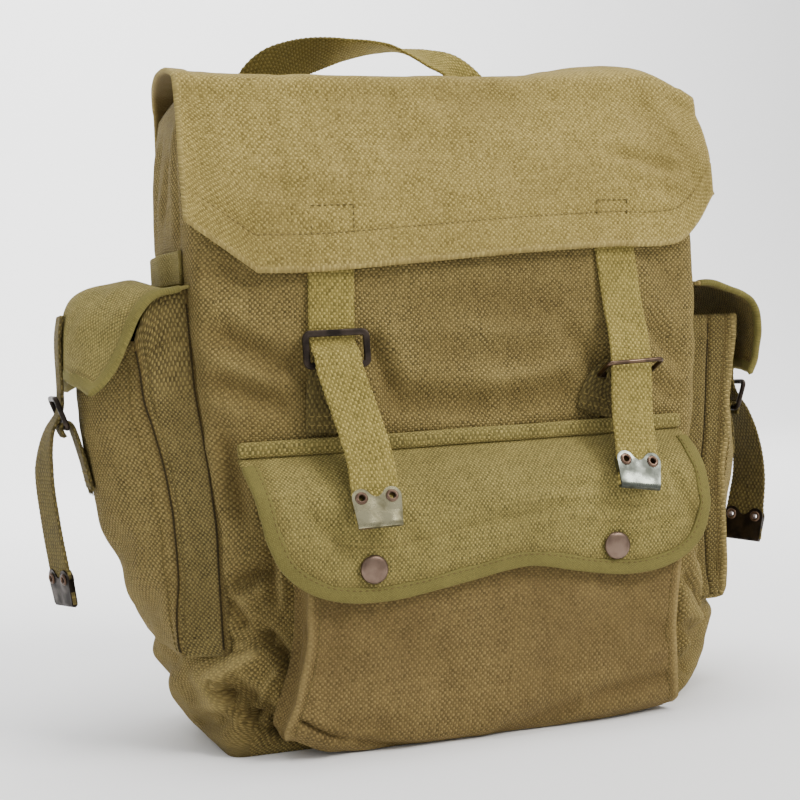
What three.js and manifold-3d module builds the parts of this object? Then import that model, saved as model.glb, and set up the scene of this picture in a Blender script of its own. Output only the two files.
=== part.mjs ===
// A canvas haversack that stands on its base: an open sack under a strapped lid, with a flapped
// pocket on its front, a strapped pocket on each side, and a carrying handle.
// Sizes are in millimetres. +X is to the right of someone who faces the bag, -Y is its front, +Z is
// up, and the origin is the middle of the flat base. Tables hold shares of the named sizes.
import * as THREE from "three";
import { mergeVertices } from "three/addons/utils/BufferGeometryUtils.js";
import Module from "manifold-3d";

const wasm = await Module();
wasm.setup();

// Cloth, webbing and the space kept between pieces that touch
const gap = 0.3;
const seatGap = 0.6;
const canvas = 2;
const flapCloth = 2.4;
const tape = 0.8;
const tapeWidth = 6.5;
const webbing = 2;
const webWidth = 25;
const loopWidth = 18;

// Sack
const sackWidth = 290;
const sackDepth = 134;
const sackHeight = 350;
const sackCorner = 9;

// Lid
const lidWidth = 298;
const lidRise = 16;
const lidDrop = 90;
const lidSeam = 20;

// Front pocket and its flap
const pocketWidth = 256;
const pocketDepth = 26;
const pocketHeight = 128;
const pocketFloor = 6;
const pocketCorner = 9;
const flapWidth = 255;
const flapDrop = 73.5;
const flapSeamAbovePocket = 22;
const weltHeight = 8.6;
const weltDepth = 4;
const studSpacing = 137;
const studAboveHem = 15.5;
const studRadius = 7.5;
const studHeight = 2.6;

// Side pockets and their flaps
const sidePocketReach = 62;
const sidePocketLength = 100;
const sidePocketHeight = 165;
const sidePocketFloor = 55;
const sidePocketCorner = 8;
const sideGussetRise = { left: 23, right: 0 };
const sideFlapLength = 116;
const sideFlapReach = 63;
const sideFlapDrop = 60;
const sideFlapAbove = 28;
const sideFlapSag = 9;
const loopAboveFlap = 11;
const loopLength = 92;
const loopStandoff = 3;

// Metal
const wire = 1.5;
const buckleWidth = 32;
const buckleHeight = 17;
const buckleCorner = 3;
const tipLength = 19;
const tipMetal = 0.8;
const tipOverhang = 0.5;
const tipNotch = 7;
const earRadius = 5;
const eyeletFlange = 3.3;
const eyeletBarrel = 2.2;
const eyeletHole = 1.5;
const eyeletRim = 0.6;
const eyeletSpacing = 16;

// Handle
const handleSpan = 152;
const handleRise = 47;

const cloth = new THREE.MeshStandardMaterial({ color: 0x8a7a48, roughness: 0.95, metalness: 0 });
const flapGreen = new THREE.MeshStandardMaterial({ color: 0x7d7a45, roughness: 0.93, metalness: 0 });
const tapeGreen = new THREE.MeshStandardMaterial({ color: 0x77763c, roughness: 0.9, metalness: 0 });
const web = new THREE.MeshStandardMaterial({ color: 0x8f8548, roughness: 0.92, metalness: 0 });
const darkMetal = new THREE.MeshStandardMaterial({ color: 0x2e2826, roughness: 0.5, metalness: 0.9 });
const steel = new THREE.MeshStandardMaterial({ color: 0xaab0aa, roughness: 0.35, metalness: 1 });
const copper = new THREE.MeshStandardMaterial({ color: 0x7a5c50, roughness: 0.45, metalness: 0.9 });

const haversack = new THREE.Group();

function add(name, geometry, material) {
  const mesh = new THREE.Mesh(geometry, material);
  mesh.name = name;
  haversack.add(mesh);
  return mesh;
}

// Cubic interpolation of one column of a table over another column, which rises down the table
function smooth(rows, over, column, value) {
  const last = rows.length - 1;
  let i = 0;
  while (i < last - 1 && value > rows[i + 1][over]) i++;
  const slope = (k) => {
    const before = rows[Math.max(k - 1, 0)];
    const after = rows[Math.min(k + 1, last)];
    return (after[column] - before[column]) / (after[over] - before[over]);
  };
  const span = rows[i + 1][over] - rows[i][over];
  const t = THREE.MathUtils.clamp((value - rows[i][over]) / span, 0, 1);
  const stay = (1 + 2 * t) * (1 - t) ** 2;
  const leave = t * (1 - t) ** 2 * span;
  const arrive = t * t * (t - 1) * span;
  return (
    stay * rows[i][column] + (1 - stay) * rows[i + 1][column] +
    leave * slope(i) + arrive * slope(i + 1)
  );
}

// A closed geometry from corner points and triangles, turned so that its faces point outwards
function closed(points, triangles) {
  let volume = 0;
  for (const [a, b, c] of triangles)
    volume += points[a].dot(new THREE.Vector3().crossVectors(points[b], points[c]));
  const faces = volume < 0 ? triangles.map(([a, b, c]) => [a, c, b]) : triangles;
  const geometry = new THREE.BufferGeometry().setFromPoints(points);
  geometry.setIndex(faces.flat());
  return geometry;
}

// Joins each ring of points to the next. ends is "fan" for a round end, "strip" for the end of a
// folded sheet, whose point j faces its point n - 1 - j, or "loop" where the last ring meets the first.
function loft(rings, ends) {
  const n = rings[0].length;
  const points = rings.flat();
  const triangles = [];
  const joined = ends === "loop" ? rings.length : rings.length - 1;
  for (let k = 0; k < joined; k++)
    for (let j = 0; j < n; j++) {
      const a = k * n + j;
      const b = k * n + ((j + 1) % n);
      const c = ((k + 1) % rings.length) * n + j;
      const d = ((k + 1) % rings.length) * n + ((j + 1) % n);
      triangles.push([a, b, d], [a, d, c]);
    }
  if (ends === "loop") return closed(points, triangles);
  for (const [k, turn] of [[0, 1], [rings.length - 1, -1]]) {
    const face = (a, b, c) => triangles.push(turn > 0 ? [c, b, a] : [a, b, c]);
    if (ends === "strip") {
      for (let j = 0; j < n / 2 - 1; j++) {
        face(k * n + j, k * n + j + 1, k * n + n - 2 - j);
        face(k * n + j, k * n + n - 2 - j, k * n + n - 1 - j);
      }
    } else {
      const middle = new THREE.Vector3();
      rings[k].forEach((p) => middle.addScaledVector(p, 1 / n));
      points.push(middle);
      for (let j = 0; j < n; j++) face(k * n + j, k * n + ((j + 1) % n), points.length - 1);
    }
  }
  return closed(points, triangles);
}

// One level of a pouch seen from above: four panels that each swell outwards as a parabola, with
// rounded corners. The corners run front left, front right, back right, back left.
function ring(section, inset) {
  const { corners, swell, radius, steps, z } = section;
  const normals = corners.map(([x, y], i) => {
    const [nextX, nextY] = corners[(i + 1) % 4];
    const length = Math.hypot(nextX - x, nextY - y);
    return [(nextY - y) / length, (x - nextX) / length];
  });
  const moved = corners.map(([x, y], i) => {
    const [ax, ay] = normals[(i + 3) % 4];
    const [bx, by] = normals[i];
    const share = inset / (1 + ax * bx + ay * by);
    return [x - (ax + bx) * share, y - (ay + by) * share];
  });
  const panel = (i, t) => {
    const [x, y] = moved[i];
    const [nextX, nextY] = moved[(i + 1) % 4];
    const out = swell[i] * 4 * t * (1 - t);
    return [x + (nextX - x) * t + normals[i][0] * out, y + (nextY - y) * t + normals[i][1] * out];
  };
  const trim = (i) => {
    const [x, y] = moved[i];
    const [nextX, nextY] = moved[(i + 1) % 4];
    return Math.max(radius - inset, 1) / Math.hypot(nextX - x, nextY - y);
  };
  const outline = [];
  for (let i = 0; i < 4; i++) {
    for (let k = 0; k <= steps[i]; k++)
      outline.push(panel(i, trim(i) + ((1 - 2 * trim(i)) * k) / steps[i]));
    const from = panel(i, 1 - trim(i));
    const next = (i + 1) % 4;
    const to = panel(next, trim(next));
    for (const t of [1 / 3, 2 / 3])
      outline.push([0, 1].map((axis) =>
        from[axis] * (1 - t) ** 2 + 2 * moved[next][axis] * t * (1 - t) + to[axis] * t * t));
  }
  return outline.map(([x, y]) => new THREE.Vector3(x, y, z));
}

// A cloth pouch, open at its top level: the outer wall goes up and the inner wall comes down.
// levels are shares of its height; shape turns each ring's points into their folded places.
function pouch(sectionAt, floor, height, levels, shape = (point) => point) {
  const wall = (inset, shares) =>
    shares.map((share) => ring(sectionAt(floor + height * share), inset).map(shape));
  const inside = [canvas / height, ...levels.filter((share) => share * height > canvas * 1.8)];
  return loft([...wall(0, levels), ...wall(canvas, inside).reverse()], "fan");
}

// Equal steps from 0 to 1
const steps = (count) => Array.from({ length: count + 1 }, (_, k) => k / count);

// A cloth sheet: a grid of points on its middle surface, with its thickness along its own normals
function sheet(pointAt, across, along, thickness) {
  const step = 1e-3;
  const face = (u, v, side) => {
    const du = pointAt(Math.min(u + step, 1), v).sub(pointAt(Math.max(u - step, 0), v));
    const dv = pointAt(u, Math.min(v + step, 1)).sub(pointAt(u, Math.max(v - step, 0)));
    return pointAt(u, v).addScaledVector(du.cross(dv).normalize(), (side * thickness) / 2);
  };
  const rings = along.map((v) => {
    const top = across.map((u) => face(u, v, 1));
    const under = across.map((u) => face(u, v, -1)).reverse();
    return [...top, ...under];
  });
  return loft(rings, "strip");
}

// The tape that binds a sheet's edge: a U that wraps it, carried along the edge's (u, v) places
function binding(pointAt, edge, thickness) {
  const step = 1e-3;
  const near = thickness / 2 + seatGap;
  const far = near + tape;
  const profile = [
    [tapeWidth, far], [-seatGap - tape, far], [-seatGap - tape, -far], [tapeWidth, -far],
    [tapeWidth, -near], [-seatGap, -near], [-seatGap, near], [tapeWidth, near],
  ];
  const places = edge.map(([u, v]) => pointAt(u, v));
  const rings = edge.map(([u, v], k) => {
    const inU = u > 0.5 ? -step : step;
    const inV = v > 0.5 ? -step : step;
    const du = pointAt(u + inU, v).sub(pointAt(u, v)).multiplyScalar(Math.sign(inU));
    const dv = pointAt(u, v + inV).sub(pointAt(u, v)).multiplyScalar(Math.sign(inV));
    const normal = du.clone().cross(dv).normalize();
    const before = places[Math.max(k - 1, 0)];
    const after = places[Math.min(k + 1, places.length - 1)];
    const along = after.clone().sub(before).normalize();
    const inward = along.clone().cross(normal).normalize();
    return profile.map(([depth, height]) =>
      places[k].clone().addScaledVector(inward, depth).addScaledVector(normal, height));
  });
  return loft(rings, "strip");
}

// Webbing: a flat band along a smooth route. Each stop has its place and its width's direction.
// straight adds a straight end, whose frame has Z back along the band and -Y on its outer face.
function band(stops, width, steps, straight = 0) {
  const places = stops.map((stop) => new THREE.Vector3(...stop.at));
  const widths = stops.map((stop) => new THREE.Vector3(...stop.across));
  const curve = new THREE.CatmullRomCurve3(places, false, "centripetal");
  const corner = (middle, across, normal) =>
    [[-1, -1], [1, -1], [1, 1], [-1, 1]].map(([side, face]) =>
      middle.clone()
        .addScaledVector(across, (side * width) / 2)
        .addScaledVector(normal, (face * webbing) / 2));
  const rings = [];
  const end = new THREE.Matrix4();
  for (let k = 0; k <= steps; k++) {
    const place = (k / steps) * (stops.length - 1);
    const i = Math.min(Math.floor(place), stops.length - 2);
    const middle = curve.getPoint(k / steps);
    const along = curve.getTangent(k / steps);
    const across = widths[i].clone().lerp(widths[i + 1], place - i).projectOnPlane(along).normalize();
    const normal = across.clone().cross(along);
    rings.push(corner(middle, across, normal));
    if (k === steps && straight > 0) {
      const last = middle.addScaledVector(along, straight);
      rings.push(corner(last, across, normal));
      end.makeBasis(across, normal, along.negate()).setPosition(last);
    }
  }
  return { geometry: loft(rings, "fan"), end };
}

// Joins and cuts
function toSolid(geometry) {
  const bare = new THREE.BufferGeometry().setAttribute("position", geometry.getAttribute("position"));
  if (geometry.index) bare.setIndex(geometry.index);
  const merged = mergeVertices(bare, 1e-4);
  return new wasm.Manifold(new wasm.Mesh({
    numProp: 3,
    vertProperties: new Float32Array(merged.getAttribute("position").array),
    triVerts: new Uint32Array(merged.index.array),
  }));
}

function toGeometry(solid) {
  const mesh = solid.getMesh();
  const geometry = new THREE.BufferGeometry();
  geometry.setAttribute("position", new THREE.BufferAttribute(mesh.vertProperties, 3));
  geometry.setIndex(new THREE.BufferAttribute(mesh.triVerts, 1));
  return geometry;
}

const cut = (geometry, ...tools) =>
  toGeometry(tools.reduce((solid, tool) => solid.subtract(toSolid(tool)), toSolid(geometry)));

// Sack. west, east and rearCorner are half-widths as shares of sackWidth / 2: west and east for the
// front's left and right corners. front and rear are shares of sackDepth / 2, and belly, left and
// right are swellings as shares of sackDepth.
const sackSections = [
  { height: 0, west: 0.955, east: 0.84, rearCorner: 0.86, front: 0.92, rear: 0.86, belly: 0.02, left: 0.05, right: 0.16 },
  { height: 0.023, west: 0.955, east: 0.87, rearCorner: 0.89, front: 0.97, rear: 0.93, belly: 0.03, left: 0.1, right: 0.23 },
  { height: 0.07, west: 0.925, east: 0.9, rearCorner: 0.93, front: 0.975, rear: 0.97, belly: 0.045, left: 0.17, right: 0.27 },
  { height: 0.125, west: 0.905, east: 0.91, rearCorner: 0.95, front: 0.98, rear: 0.99, belly: 0.05, left: 0.23, right: 0.28 },
  { height: 0.2, west: 0.91, east: 0.92, rearCorner: 0.96, front: 0.985, rear: 1, belly: 0.05, left: 0.19, right: 0.18 },
  { height: 0.38, west: 0.938, east: 0.94, rearCorner: 0.97, front: 0.985, rear: 1, belly: 0.06, left: 0.08, right: 0.08 },
  { height: 0.54, west: 0.98, east: 0.99, rearCorner: 0.98, front: 0.985, rear: 0.995, belly: 0.065, left: 0.045, right: 0.045 },
  { height: 0.7, west: 0.99, east: 1.015, rearCorner: 0.985, front: 0.98, rear: 0.985, belly: 0.06, left: 0.045, right: 0.045 },
  { height: 0.84, west: 1, east: 1.01, rearCorner: 0.985, front: 0.925, rear: 0.93, belly: 0.045, left: 0.04, right: 0.04 },
  { height: 0.94, west: 1, east: 1, rearCorner: 0.975, front: 0.84, rear: 0.875, belly: 0.02, left: 0.02, right: 0.02 },
  { height: 1, west: 0.985, east: 0.985, rearCorner: 0.955, front: 0.76, rear: 0.84, belly: 0.015, left: 0.01, right: 0.01 },
];
const sackLevels = [0, 0.012, 0.032, 0.06, 0.09, 0.13, 0.18, 0.25, 0.35, 0.47, 0.6, 0.73, 0.84, 0.92, 1];
const sackAt = (z, column) =>
  smooth(sackSections, "height", column, THREE.MathUtils.clamp(z / sackHeight, 0, 1));

function sackSection(z) {
  const front = (-sackAt(z, "front") * sackDepth) / 2;
  const rear = (sackAt(z, "rear") * sackDepth) / 2;
  const west = (-sackAt(z, "west") * sackWidth) / 2;
  const east = (sackAt(z, "east") * sackWidth) / 2;
  const rearCorner = (sackAt(z, "rearCorner") * sackWidth) / 2;
  const [left, right] = ["left", "right"].map((side) => sackAt(z, side) * sackDepth);
  return {
    corners: [[west, front], [east, front], [rearCorner, rear], [-rearCorner, rear]],
    swell: [sackAt(z, "belly") * sackDepth, right, sackAt(z, "belly") * sackDepth * 0.3, left],
    radius: sackCorner,
    steps: [8, 5, 4, 5],
    z,
  };
}

// The sack's outer face: y of the front and of the back at (x, z), and x of a side at (y, z)
function frontY(x, z) {
  const west = (-sackAt(z, "west") * sackWidth) / 2;
  const east = (sackAt(z, "east") * sackWidth) / 2;
  const t = THREE.MathUtils.clamp((x - west) / (east - west), 0, 1);
  return (-sackAt(z, "front") * sackDepth) / 2 - sackAt(z, "belly") * sackDepth * 4 * t * (1 - t);
}
function backY(x, z) {
  const corner = (sackAt(z, "rearCorner") * sackWidth) / 2;
  const swell = sackAt(z, "belly") * sackDepth * 0.3;
  return (sackAt(z, "rear") * sackDepth) / 2 + swell * (1 - Math.min(x / corner, 1) ** 2);
}
function sideX(name, y, z) {
  const front = (-sackAt(z, "front") * sackDepth) / 2;
  const rear = (sackAt(z, "rear") * sackDepth) / 2;
  const t = THREE.MathUtils.clamp((y - front) / (rear - front), 0, 1);
  const corner = THREE.MathUtils.lerp(sackAt(z, name === "left" ? "west" : "east"), sackAt(z, "rearCorner"), t);
  return (corner * sackWidth) / 2 + sackAt(z, name) * sackDepth * 4 * t * (1 - t);
}

// The sack's slack, as grooves from one place to another. across is a share of sackWidth / 2, out
// of sackDepth / 2, up of sackHeight, and depth and width are shares of sackDepth.
const sackFolds = [
  { across: -1.02, out: -0.85, up: 0.125, toAcross: -0.8, toOut: -1.05, toUp: 0.02, depth: 0.07, width: 0.065 },
  { across: -0.97, out: -0.9, up: 0.2, toAcross: -0.9, toOut: -1, toUp: 0.16, depth: 0.035, width: 0.07 },
  { across: 1.06, out: -0.7, up: 0.11, toAcross: 0.86, toOut: -1, toUp: 0.035, depth: 0.06, width: 0.06 },
  { across: -1.12, out: 0, up: 0.12, toAcross: -1.05, toOut: 0.6, toUp: 0.04, depth: 0.04, width: 0.08 },
  { across: 1.12, out: 0.1, up: 0.13, toAcross: 1.05, toOut: 0.7, toUp: 0.05, depth: 0.04, width: 0.08 },
];
function sackFold(point) {
  const outward = new THREE.Vector3(point.x / sackWidth, point.y / sackDepth, 0).normalize();
  let moved = 0;
  for (const fold of sackFolds) {
    const from = new THREE.Vector3((fold.across * sackWidth) / 2, (fold.out * sackDepth) / 2, fold.up * sackHeight);
    const to = new THREE.Vector3((fold.toAcross * sackWidth) / 2, (fold.toOut * sackDepth) / 2, fold.toUp * sackHeight);
    const line = to.clone().sub(from);
    const t = THREE.MathUtils.clamp(point.clone().sub(from).dot(line) / line.lengthSq(), 0, 1);
    const away = point.distanceTo(from.addScaledVector(line, t)) / (fold.width * sackDepth);
    moved -= fold.depth * sackDepth * Math.exp(-away * away);
  }
  return point.clone().addScaledVector(outward, moved);
}
const sack = pouch(sackSection, 0, sackHeight, sackLevels, sackFold);
add("sack", sack, cloth);

// What the sewn-on pieces are cut back by: the sack as if it were full, grown by the gap
const sackFull = loft(sackLevels.map((share) => ring(sackSection(share * sackHeight), -gap).map(sackFold)), "fan");

// Lid. It starts on the back panel, crosses the mouth and hangs over the front. lidHem has its
// lower edge, as shares of lidWidth / 2 and of lidDrop below the mouth. lidRidge has how far the
// arch rises, from left to right, and lidProfile the arch from back to front over the mouth.
const lidHem = [
  { u: 0, across: -0.995, drop: 0.76 },
  { u: 0.1, across: -0.76, drop: 1.065 },
  { u: 0.2, across: -0.54, drop: 1.07 },
  { u: 0.4, across: -0.14, drop: 1.035 },
  { u: 0.6, across: 0.22, drop: 1.0 },
  { u: 0.8, across: 0.6, drop: 0.975 },
  { u: 0.92, across: 0.88, drop: 0.965 },
  { u: 0.96, across: 0.98, drop: 0.85 },
  { u: 1, across: 1.06, drop: 0.667 },
];
const lidRidge = [
  { across: -1, rise: 1.02 },
  { across: -0.7, rise: 0.78 },
  { across: -0.2, rise: 0.62 },
  { across: 0.25, rise: 0.62 },
  { across: 0.6, rise: 0.9 },
  { across: 0.86, rise: 1.02 },
  { across: 1, rise: 0.7 },
];
const lidProfile = [
  { w: 0, out: 0, rise: 0.1 },
  { w: 0.1, out: 0.02, rise: 0.45 },
  { w: 0.24, out: 0.12, rise: 0.9 },
  { w: 0.45, out: 0.4, rise: 1 },
  { w: 0.65, out: 0.7, rise: 0.85 },
  { w: 0.82, out: 0.9, rise: 0.5 },
  { w: 0.93, out: 0.98, rise: 0.15 },
  { w: 1, out: 1, rise: -0.5 },
];
const lidEnds = { backLeft: -0.935, frontLeft: -0.985, backRight: 0.96, frontRight: 1.015 };
const lidOff = 1.3 + flapCloth / 2;
const lidFlare = 3.2;
const lidMouth = sackHeight + 3.3;
const lidFrontStart = lidMouth - lidRise / 2;
const lidBackY = (x, z) => backY(x, z) + seatGap + flapCloth / 2;
function lidPoint(u, v) {
  const backShare = 0.08;
  const topShare = 0.5;
  const ahead = THREE.MathUtils.smoothstep(v, backShare, topShare * 0.7);
  const left = THREE.MathUtils.lerp(lidEnds.backLeft, lidEnds.frontLeft, ahead);
  const right = THREE.MathUtils.lerp(lidEnds.backRight, lidEnds.frontRight, ahead);
  const x = (THREE.MathUtils.lerp(left, right, u) * lidWidth) / 2;
  if (v < backShare) {
    const z = THREE.MathUtils.lerp(sackHeight - lidSeam, lidMouth + 0.1 * lidRise, v / backShare);
    return new THREE.Vector3(x, lidBackY(x, z), z);
  }
  if (v < topShare) {
    const w = (v - backShare) / (topShare - backShare);
    const out = smooth(lidProfile, "w", "out", w);
    const rise = smooth(lidProfile, "w", "rise", w);
    const ridge = rise > 0.1 ? smooth(lidRidge, "across", "rise", (2 * x) / lidWidth) : 1;
    const y = THREE.MathUtils.lerp(lidBackY(x, sackHeight), frontY(x, lidFrontStart) - lidOff, out);
    return new THREE.Vector3(x, y, lidMouth + ((rise - 0.1) * ridge + 0.1) * lidRise);
  }
  const w = (v - topShare) / (1 - topShare);
  const hemZ = sackHeight - smooth(lidHem, "u", "drop", u) * lidDrop;
  const z = THREE.MathUtils.lerp(lidFrontStart, hemZ, w);
  const hemX = (smooth(lidHem, "u", "across", u) * lidWidth) / 2;
  const frontX = THREE.MathUtils.lerp(x, hemX, w * (2 - w));
  return new THREE.Vector3(frontX, frontY(frontX, z) - lidOff - lidFlare * w, z);
}
const lidRows = [0, 0.04, 0.08, 0.12, 0.18, 0.27, 0.36, 0.42, 0.455, 0.48, 0.5, 0.58, 0.68, 0.8, 0.9, 1];
add("lid", sheet(lidPoint, steps(14), lidRows, flapCloth), cloth);

// A place in front of the sack, out from its face, and the direction across a strap that lies there
const inFront = (x, z, out) => [x, frontY(x, z) - out, z];
const alongFront = (x, z) =>
  [webWidth, frontY(x + webWidth / 2, z) - frontY(x - webWidth / 2, z), 0];

// Front pocket, cut back to the sack's front. half and left are shares of pocketWidth / 2, left
// for the front panel's left seam alone, and front is a share of pocketDepth before the sack.
const pocketSections = [
  { height: 0, half: 0.86, left: 0.87, front: 0.55 },
  { height: 0.035, half: 0.87, left: 0.88, front: 0.8 },
  { height: 0.14, half: 0.86, left: 0.85, front: 0.95 },
  { height: 0.37, half: 0.85, left: 0.78, front: 1.05 },
  { height: 0.61, half: 0.89, left: 0.77, front: 1.03 },
  { height: 0.86, half: 0.94, left: 0.82, front: 0.85 },
  { height: 1, half: 0.96, left: 0.86, front: 0.7 },
];
const pocketLevels = [0, 0.018, 0.06, 0.14, 0.27, 0.45, 0.65, 0.85, 1];
const pocketAt = (z, column) =>
  smooth(pocketSections, "height", column, THREE.MathUtils.clamp((z - pocketFloor) / pocketHeight, 0, 1));
const pocketY = (z) => -sackDepth / 2 - pocketAt(z, "front") * pocketDepth;
function pocketSection(z) {
  const half = (pocketAt(z, "half") * pocketWidth) / 2;
  const left = (pocketAt(z, "left") * pocketWidth) / 2;
  const inside = (-sackDepth / 2) * 0.55;
  return {
    corners: [[-left, pocketY(z)], [half, pocketY(z)], [half * 0.94, inside], [-half * 0.94, inside]],
    swell: [pocketDepth * 0.16, 0, 0, 0],
    radius: pocketCorner,
    steps: [9, 2, 1, 2],
    z,
  };
}
const pocketFoldDepth = pocketDepth * 0.14;
const pocketSag = 5;
function pocketFold(point) {
  const height = (point.z - pocketFloor) / pocketHeight;
  const across = (2 * point.x) / pocketWidth;
  const crease = Math.exp(-(((height - 0.13 - 0.1 * across) / 0.07) ** 2));
  const front = THREE.MathUtils.smoothstep(-point.y, sackDepth / 2, sackDepth / 2 + pocketDepth * 0.6);
  const fold = crease * THREE.MathUtils.smoothstep(across, -0.3, 0.5) * front * pocketFoldDepth;
  const sag = pocketSag * Math.max(1 - across ** 2, 0) * Math.max(1 - height * 3, 0) * front;
  return point.clone().add(new THREE.Vector3(0, fold, -sag));
}
add("front_pocket", cut(pouch(pocketSection, pocketFloor, pocketHeight, pocketLevels, pocketFold), sackFull), cloth);

// Flap of the front pocket: its hem is a shallow wave between two round corners
const flapTop = pocketFloor + pocketHeight + flapSeamAbovePocket;
const flapHem = [
  { u: 0, across: -0.955, drop: 0.52 },
  { u: 0.06, across: -0.9, drop: 0.75 },
  { u: 0.12, across: -0.79, drop: 0.91 },
  { u: 0.2, across: -0.65, drop: 0.99 },
  { u: 0.3, across: -0.45, drop: 1.005 },
  { u: 0.45, across: -0.12, drop: 0.92 },
  { u: 0.57, across: 0.14, drop: 0.86 },
  { u: 0.7, across: 0.44, drop: 0.96 },
  { u: 0.8, across: 0.64, drop: 0.995 },
  { u: 0.88, across: 0.82, drop: 0.94 },
  { u: 0.94, across: 0.945, drop: 0.79 },
  { u: 1, across: 1.0, drop: 0.55 },
];
const flapStand = [
  { v: 0, out: 0 },
  { v: 0.1, out: 0.42 },
  { v: 0.25, out: 0.83 },
  { v: 0.42, out: 1 },
  { v: 0.7, out: 1.04 },
  { v: 1.05, out: 1 },
];
const flapReach = pocketDepth * 1.05 + flapCloth / 2 + 7;
const flapSeat = seatGap + flapCloth / 2;
function flapY(x, z) {
  const across = Math.abs(x / (flapWidth / 2));
  const far = -sackDepth / 2 - flapReach + flapReach * 0.12 * across ** 4;
  const out = smooth(flapStand, "v", "out", (flapTop - z) / flapDrop);
  return THREE.MathUtils.lerp(frontY(x, flapTop) - flapSeat, far, out);
}
function flapPoint(u, v) {
  const topX = (THREE.MathUtils.lerp(-1, 1, u) * flapWidth) / 2;
  const hemX = (smooth(flapHem, "u", "across", u) * flapWidth) / 2;
  const x = THREE.MathUtils.lerp(topX, hemX, v);
  const z = flapTop - smooth(flapHem, "u", "drop", u) * flapDrop * v;
  return new THREE.Vector3(x, flapY(x, z), z);
}
add("front_flap", sheet(flapPoint, steps(18), steps(8), flapCloth), flapGreen);

// The tape round the flap's edge goes down one side, along the hem and up the other, and is cut
// back from the flap's cloth by the gap
const tapeSide = steps(5).map((share) => 0.14 + 0.83 * share);
const tapePlaces = [
  ...tapeSide.map((v) => [0, v]),
  ...steps(18).map((u) => [u, 1]),
  ...tapeSide.toReversed().map((v) => [1, v]),
];
const flapWithGap = sheet(flapPoint, steps(18), steps(8), flapCloth + 2 * gap);
add("front_flap_binding", cut(binding(flapPoint, tapePlaces, flapCloth), flapWithGap), tapeGreen);

// The rolled seam above the flap
const weltRings = [];
for (let k = 0; k <= 14; k++) {
  const x = (THREE.MathUtils.lerp(-1, 1, k / 14) * (flapWidth + 2 * tape)) / 2;
  const z = flapTop + gap + 0.5 + weltHeight / 2;
  const turns = Array.from({ length: 8 }, (_, j) => ((j + 0.5) * Math.PI) / 4);
  weltRings.push(turns.map((turn) => new THREE.Vector3(
    x,
    frontY(x, z) - gap - seatGap - weltDepth / 2 - (Math.cos(turn) * weltDepth) / 2,
    z + (Math.sin(turn) * weltHeight) / 2)));
}
add("front_flap_welt", loft(weltRings, "fan"), tapeGreen);

// Press studs: a domed cap on each side of the flap, above its hem
const studProfile = [[0, 0], [0.93, 0], [1, 0.22], [0.97, 0.62], [0.7, 0.9], [0, 1]];
for (const [name, side] of [["left", -1], ["right", 1]]) {
  const outline = studProfile.map(([r, h]) => new THREE.Vector2(r * studRadius, h * studHeight));
  const cap = add(`press_stud_${name}`, new THREE.LatheGeometry(outline, 16).rotateX(Math.PI), darkMetal);
  const x = (side * studSpacing) / 2;
  const z = flapTop - flapDrop + studAboveHem;
  cap.position.set(x, flapY(x, z) - flapCloth / 2 - seatGap, z);
}

// Side pockets, cut back to the sack's sides. corner and swell are shares of sidePocketReach
// beyond the sack's half-width: corner for the outer seams and swell for the panel between them.
const sidePocketRows = {
  left: [
    { height: 0, corner: 0.27, swell: 0.04 },
    { height: 0.03, corner: 0.3, swell: 0.08 },
    { height: 0.175, corner: 0.29, swell: 0.25 },
    { height: 0.375, corner: 0.29, swell: 0.41 },
    { height: 0.55, corner: 0.34, swell: 0.47 },
    { height: 0.75, corner: 0.44, swell: 0.46 },
    { height: 0.91, corner: 0.51, swell: 0.37 },
    { height: 1, corner: 0.55, swell: 0.3 },
  ],
  right: [
    { height: 0, corner: 0.44, swell: 0.06 },
    { height: 0.03, corner: 0.48, swell: 0.09 },
    { height: 0.175, corner: 0.5, swell: 0.14 },
    { height: 0.375, corner: 0.52, swell: 0.24 },
    { height: 0.55, corner: 0.55, swell: 0.27 },
    { height: 0.75, corner: 0.57, swell: 0.16 },
    { height: 0.91, corner: 0.585, swell: 0.08 },
    { height: 1, corner: 0.59, swell: 0.05 },
  ],
};
const sidePocketLevels = [0, 0.018, 0.06, 0.16, 0.32, 0.5, 0.67, 0.84, 1];
const sidePocketAt = (name, z, column) =>
  smooth(sidePocketRows[name], "height", column,
    THREE.MathUtils.clamp((z - sidePocketFloor) / sidePocketHeight, 0, 1));
function sidePocketSection(name, side, z) {
  const inner = sackWidth * 0.4;
  const outer = sackWidth / 2 + sidePocketAt(name, z, "corner") * sidePocketReach;
  const swell = sidePocketAt(name, z, "swell") * sidePocketReach;
  const half = sidePocketLength / 2;
  const [west, east] = side > 0 ? [inner, outer] : [-outer, -inner];
  return {
    corners: [[west, -half], [east, -half], [east, half], [west, half]],
    swell: side > 0 ? [0, swell, 0, 0] : [0, 0, 0, swell],
    radius: sidePocketCorner,
    steps: side > 0 ? [2, 6, 2, 1] : [2, 1, 2, 6],
    z,
  };
}
// The left pocket's gussets rise beside the sack to meet its flap
function sidePocketRise(name) {
  return ({ x, y, z }) => {
    const seat = sackWidth / 2;
    const out = (Math.abs(x) - seat) / (sidePocketAt(name, z, "corner") * sidePocketReach);
    const along = THREE.MathUtils.clamp(out, 0, 1);
    const last = sidePocketLevels[sidePocketLevels.length - 2];
    const up = THREE.MathUtils.clamp(((z - sidePocketFloor) / sidePocketHeight - last) / (1 - last), 0, 1);
    return new THREE.Vector3(x, y, z + up * (1 - along ** 2.4) * sideGussetRise[name]);
  };
}
// The distance from the bag's middle to a side pocket's outer panel
function sidePocketOut(name, y, z) {
  const across = y / (sidePocketLength / 2);
  const share = sidePocketAt(name, z, "corner") + sidePocketAt(name, z, "swell") * (1 - across ** 2);
  return sackWidth / 2 + share * sidePocketReach;
}

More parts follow.
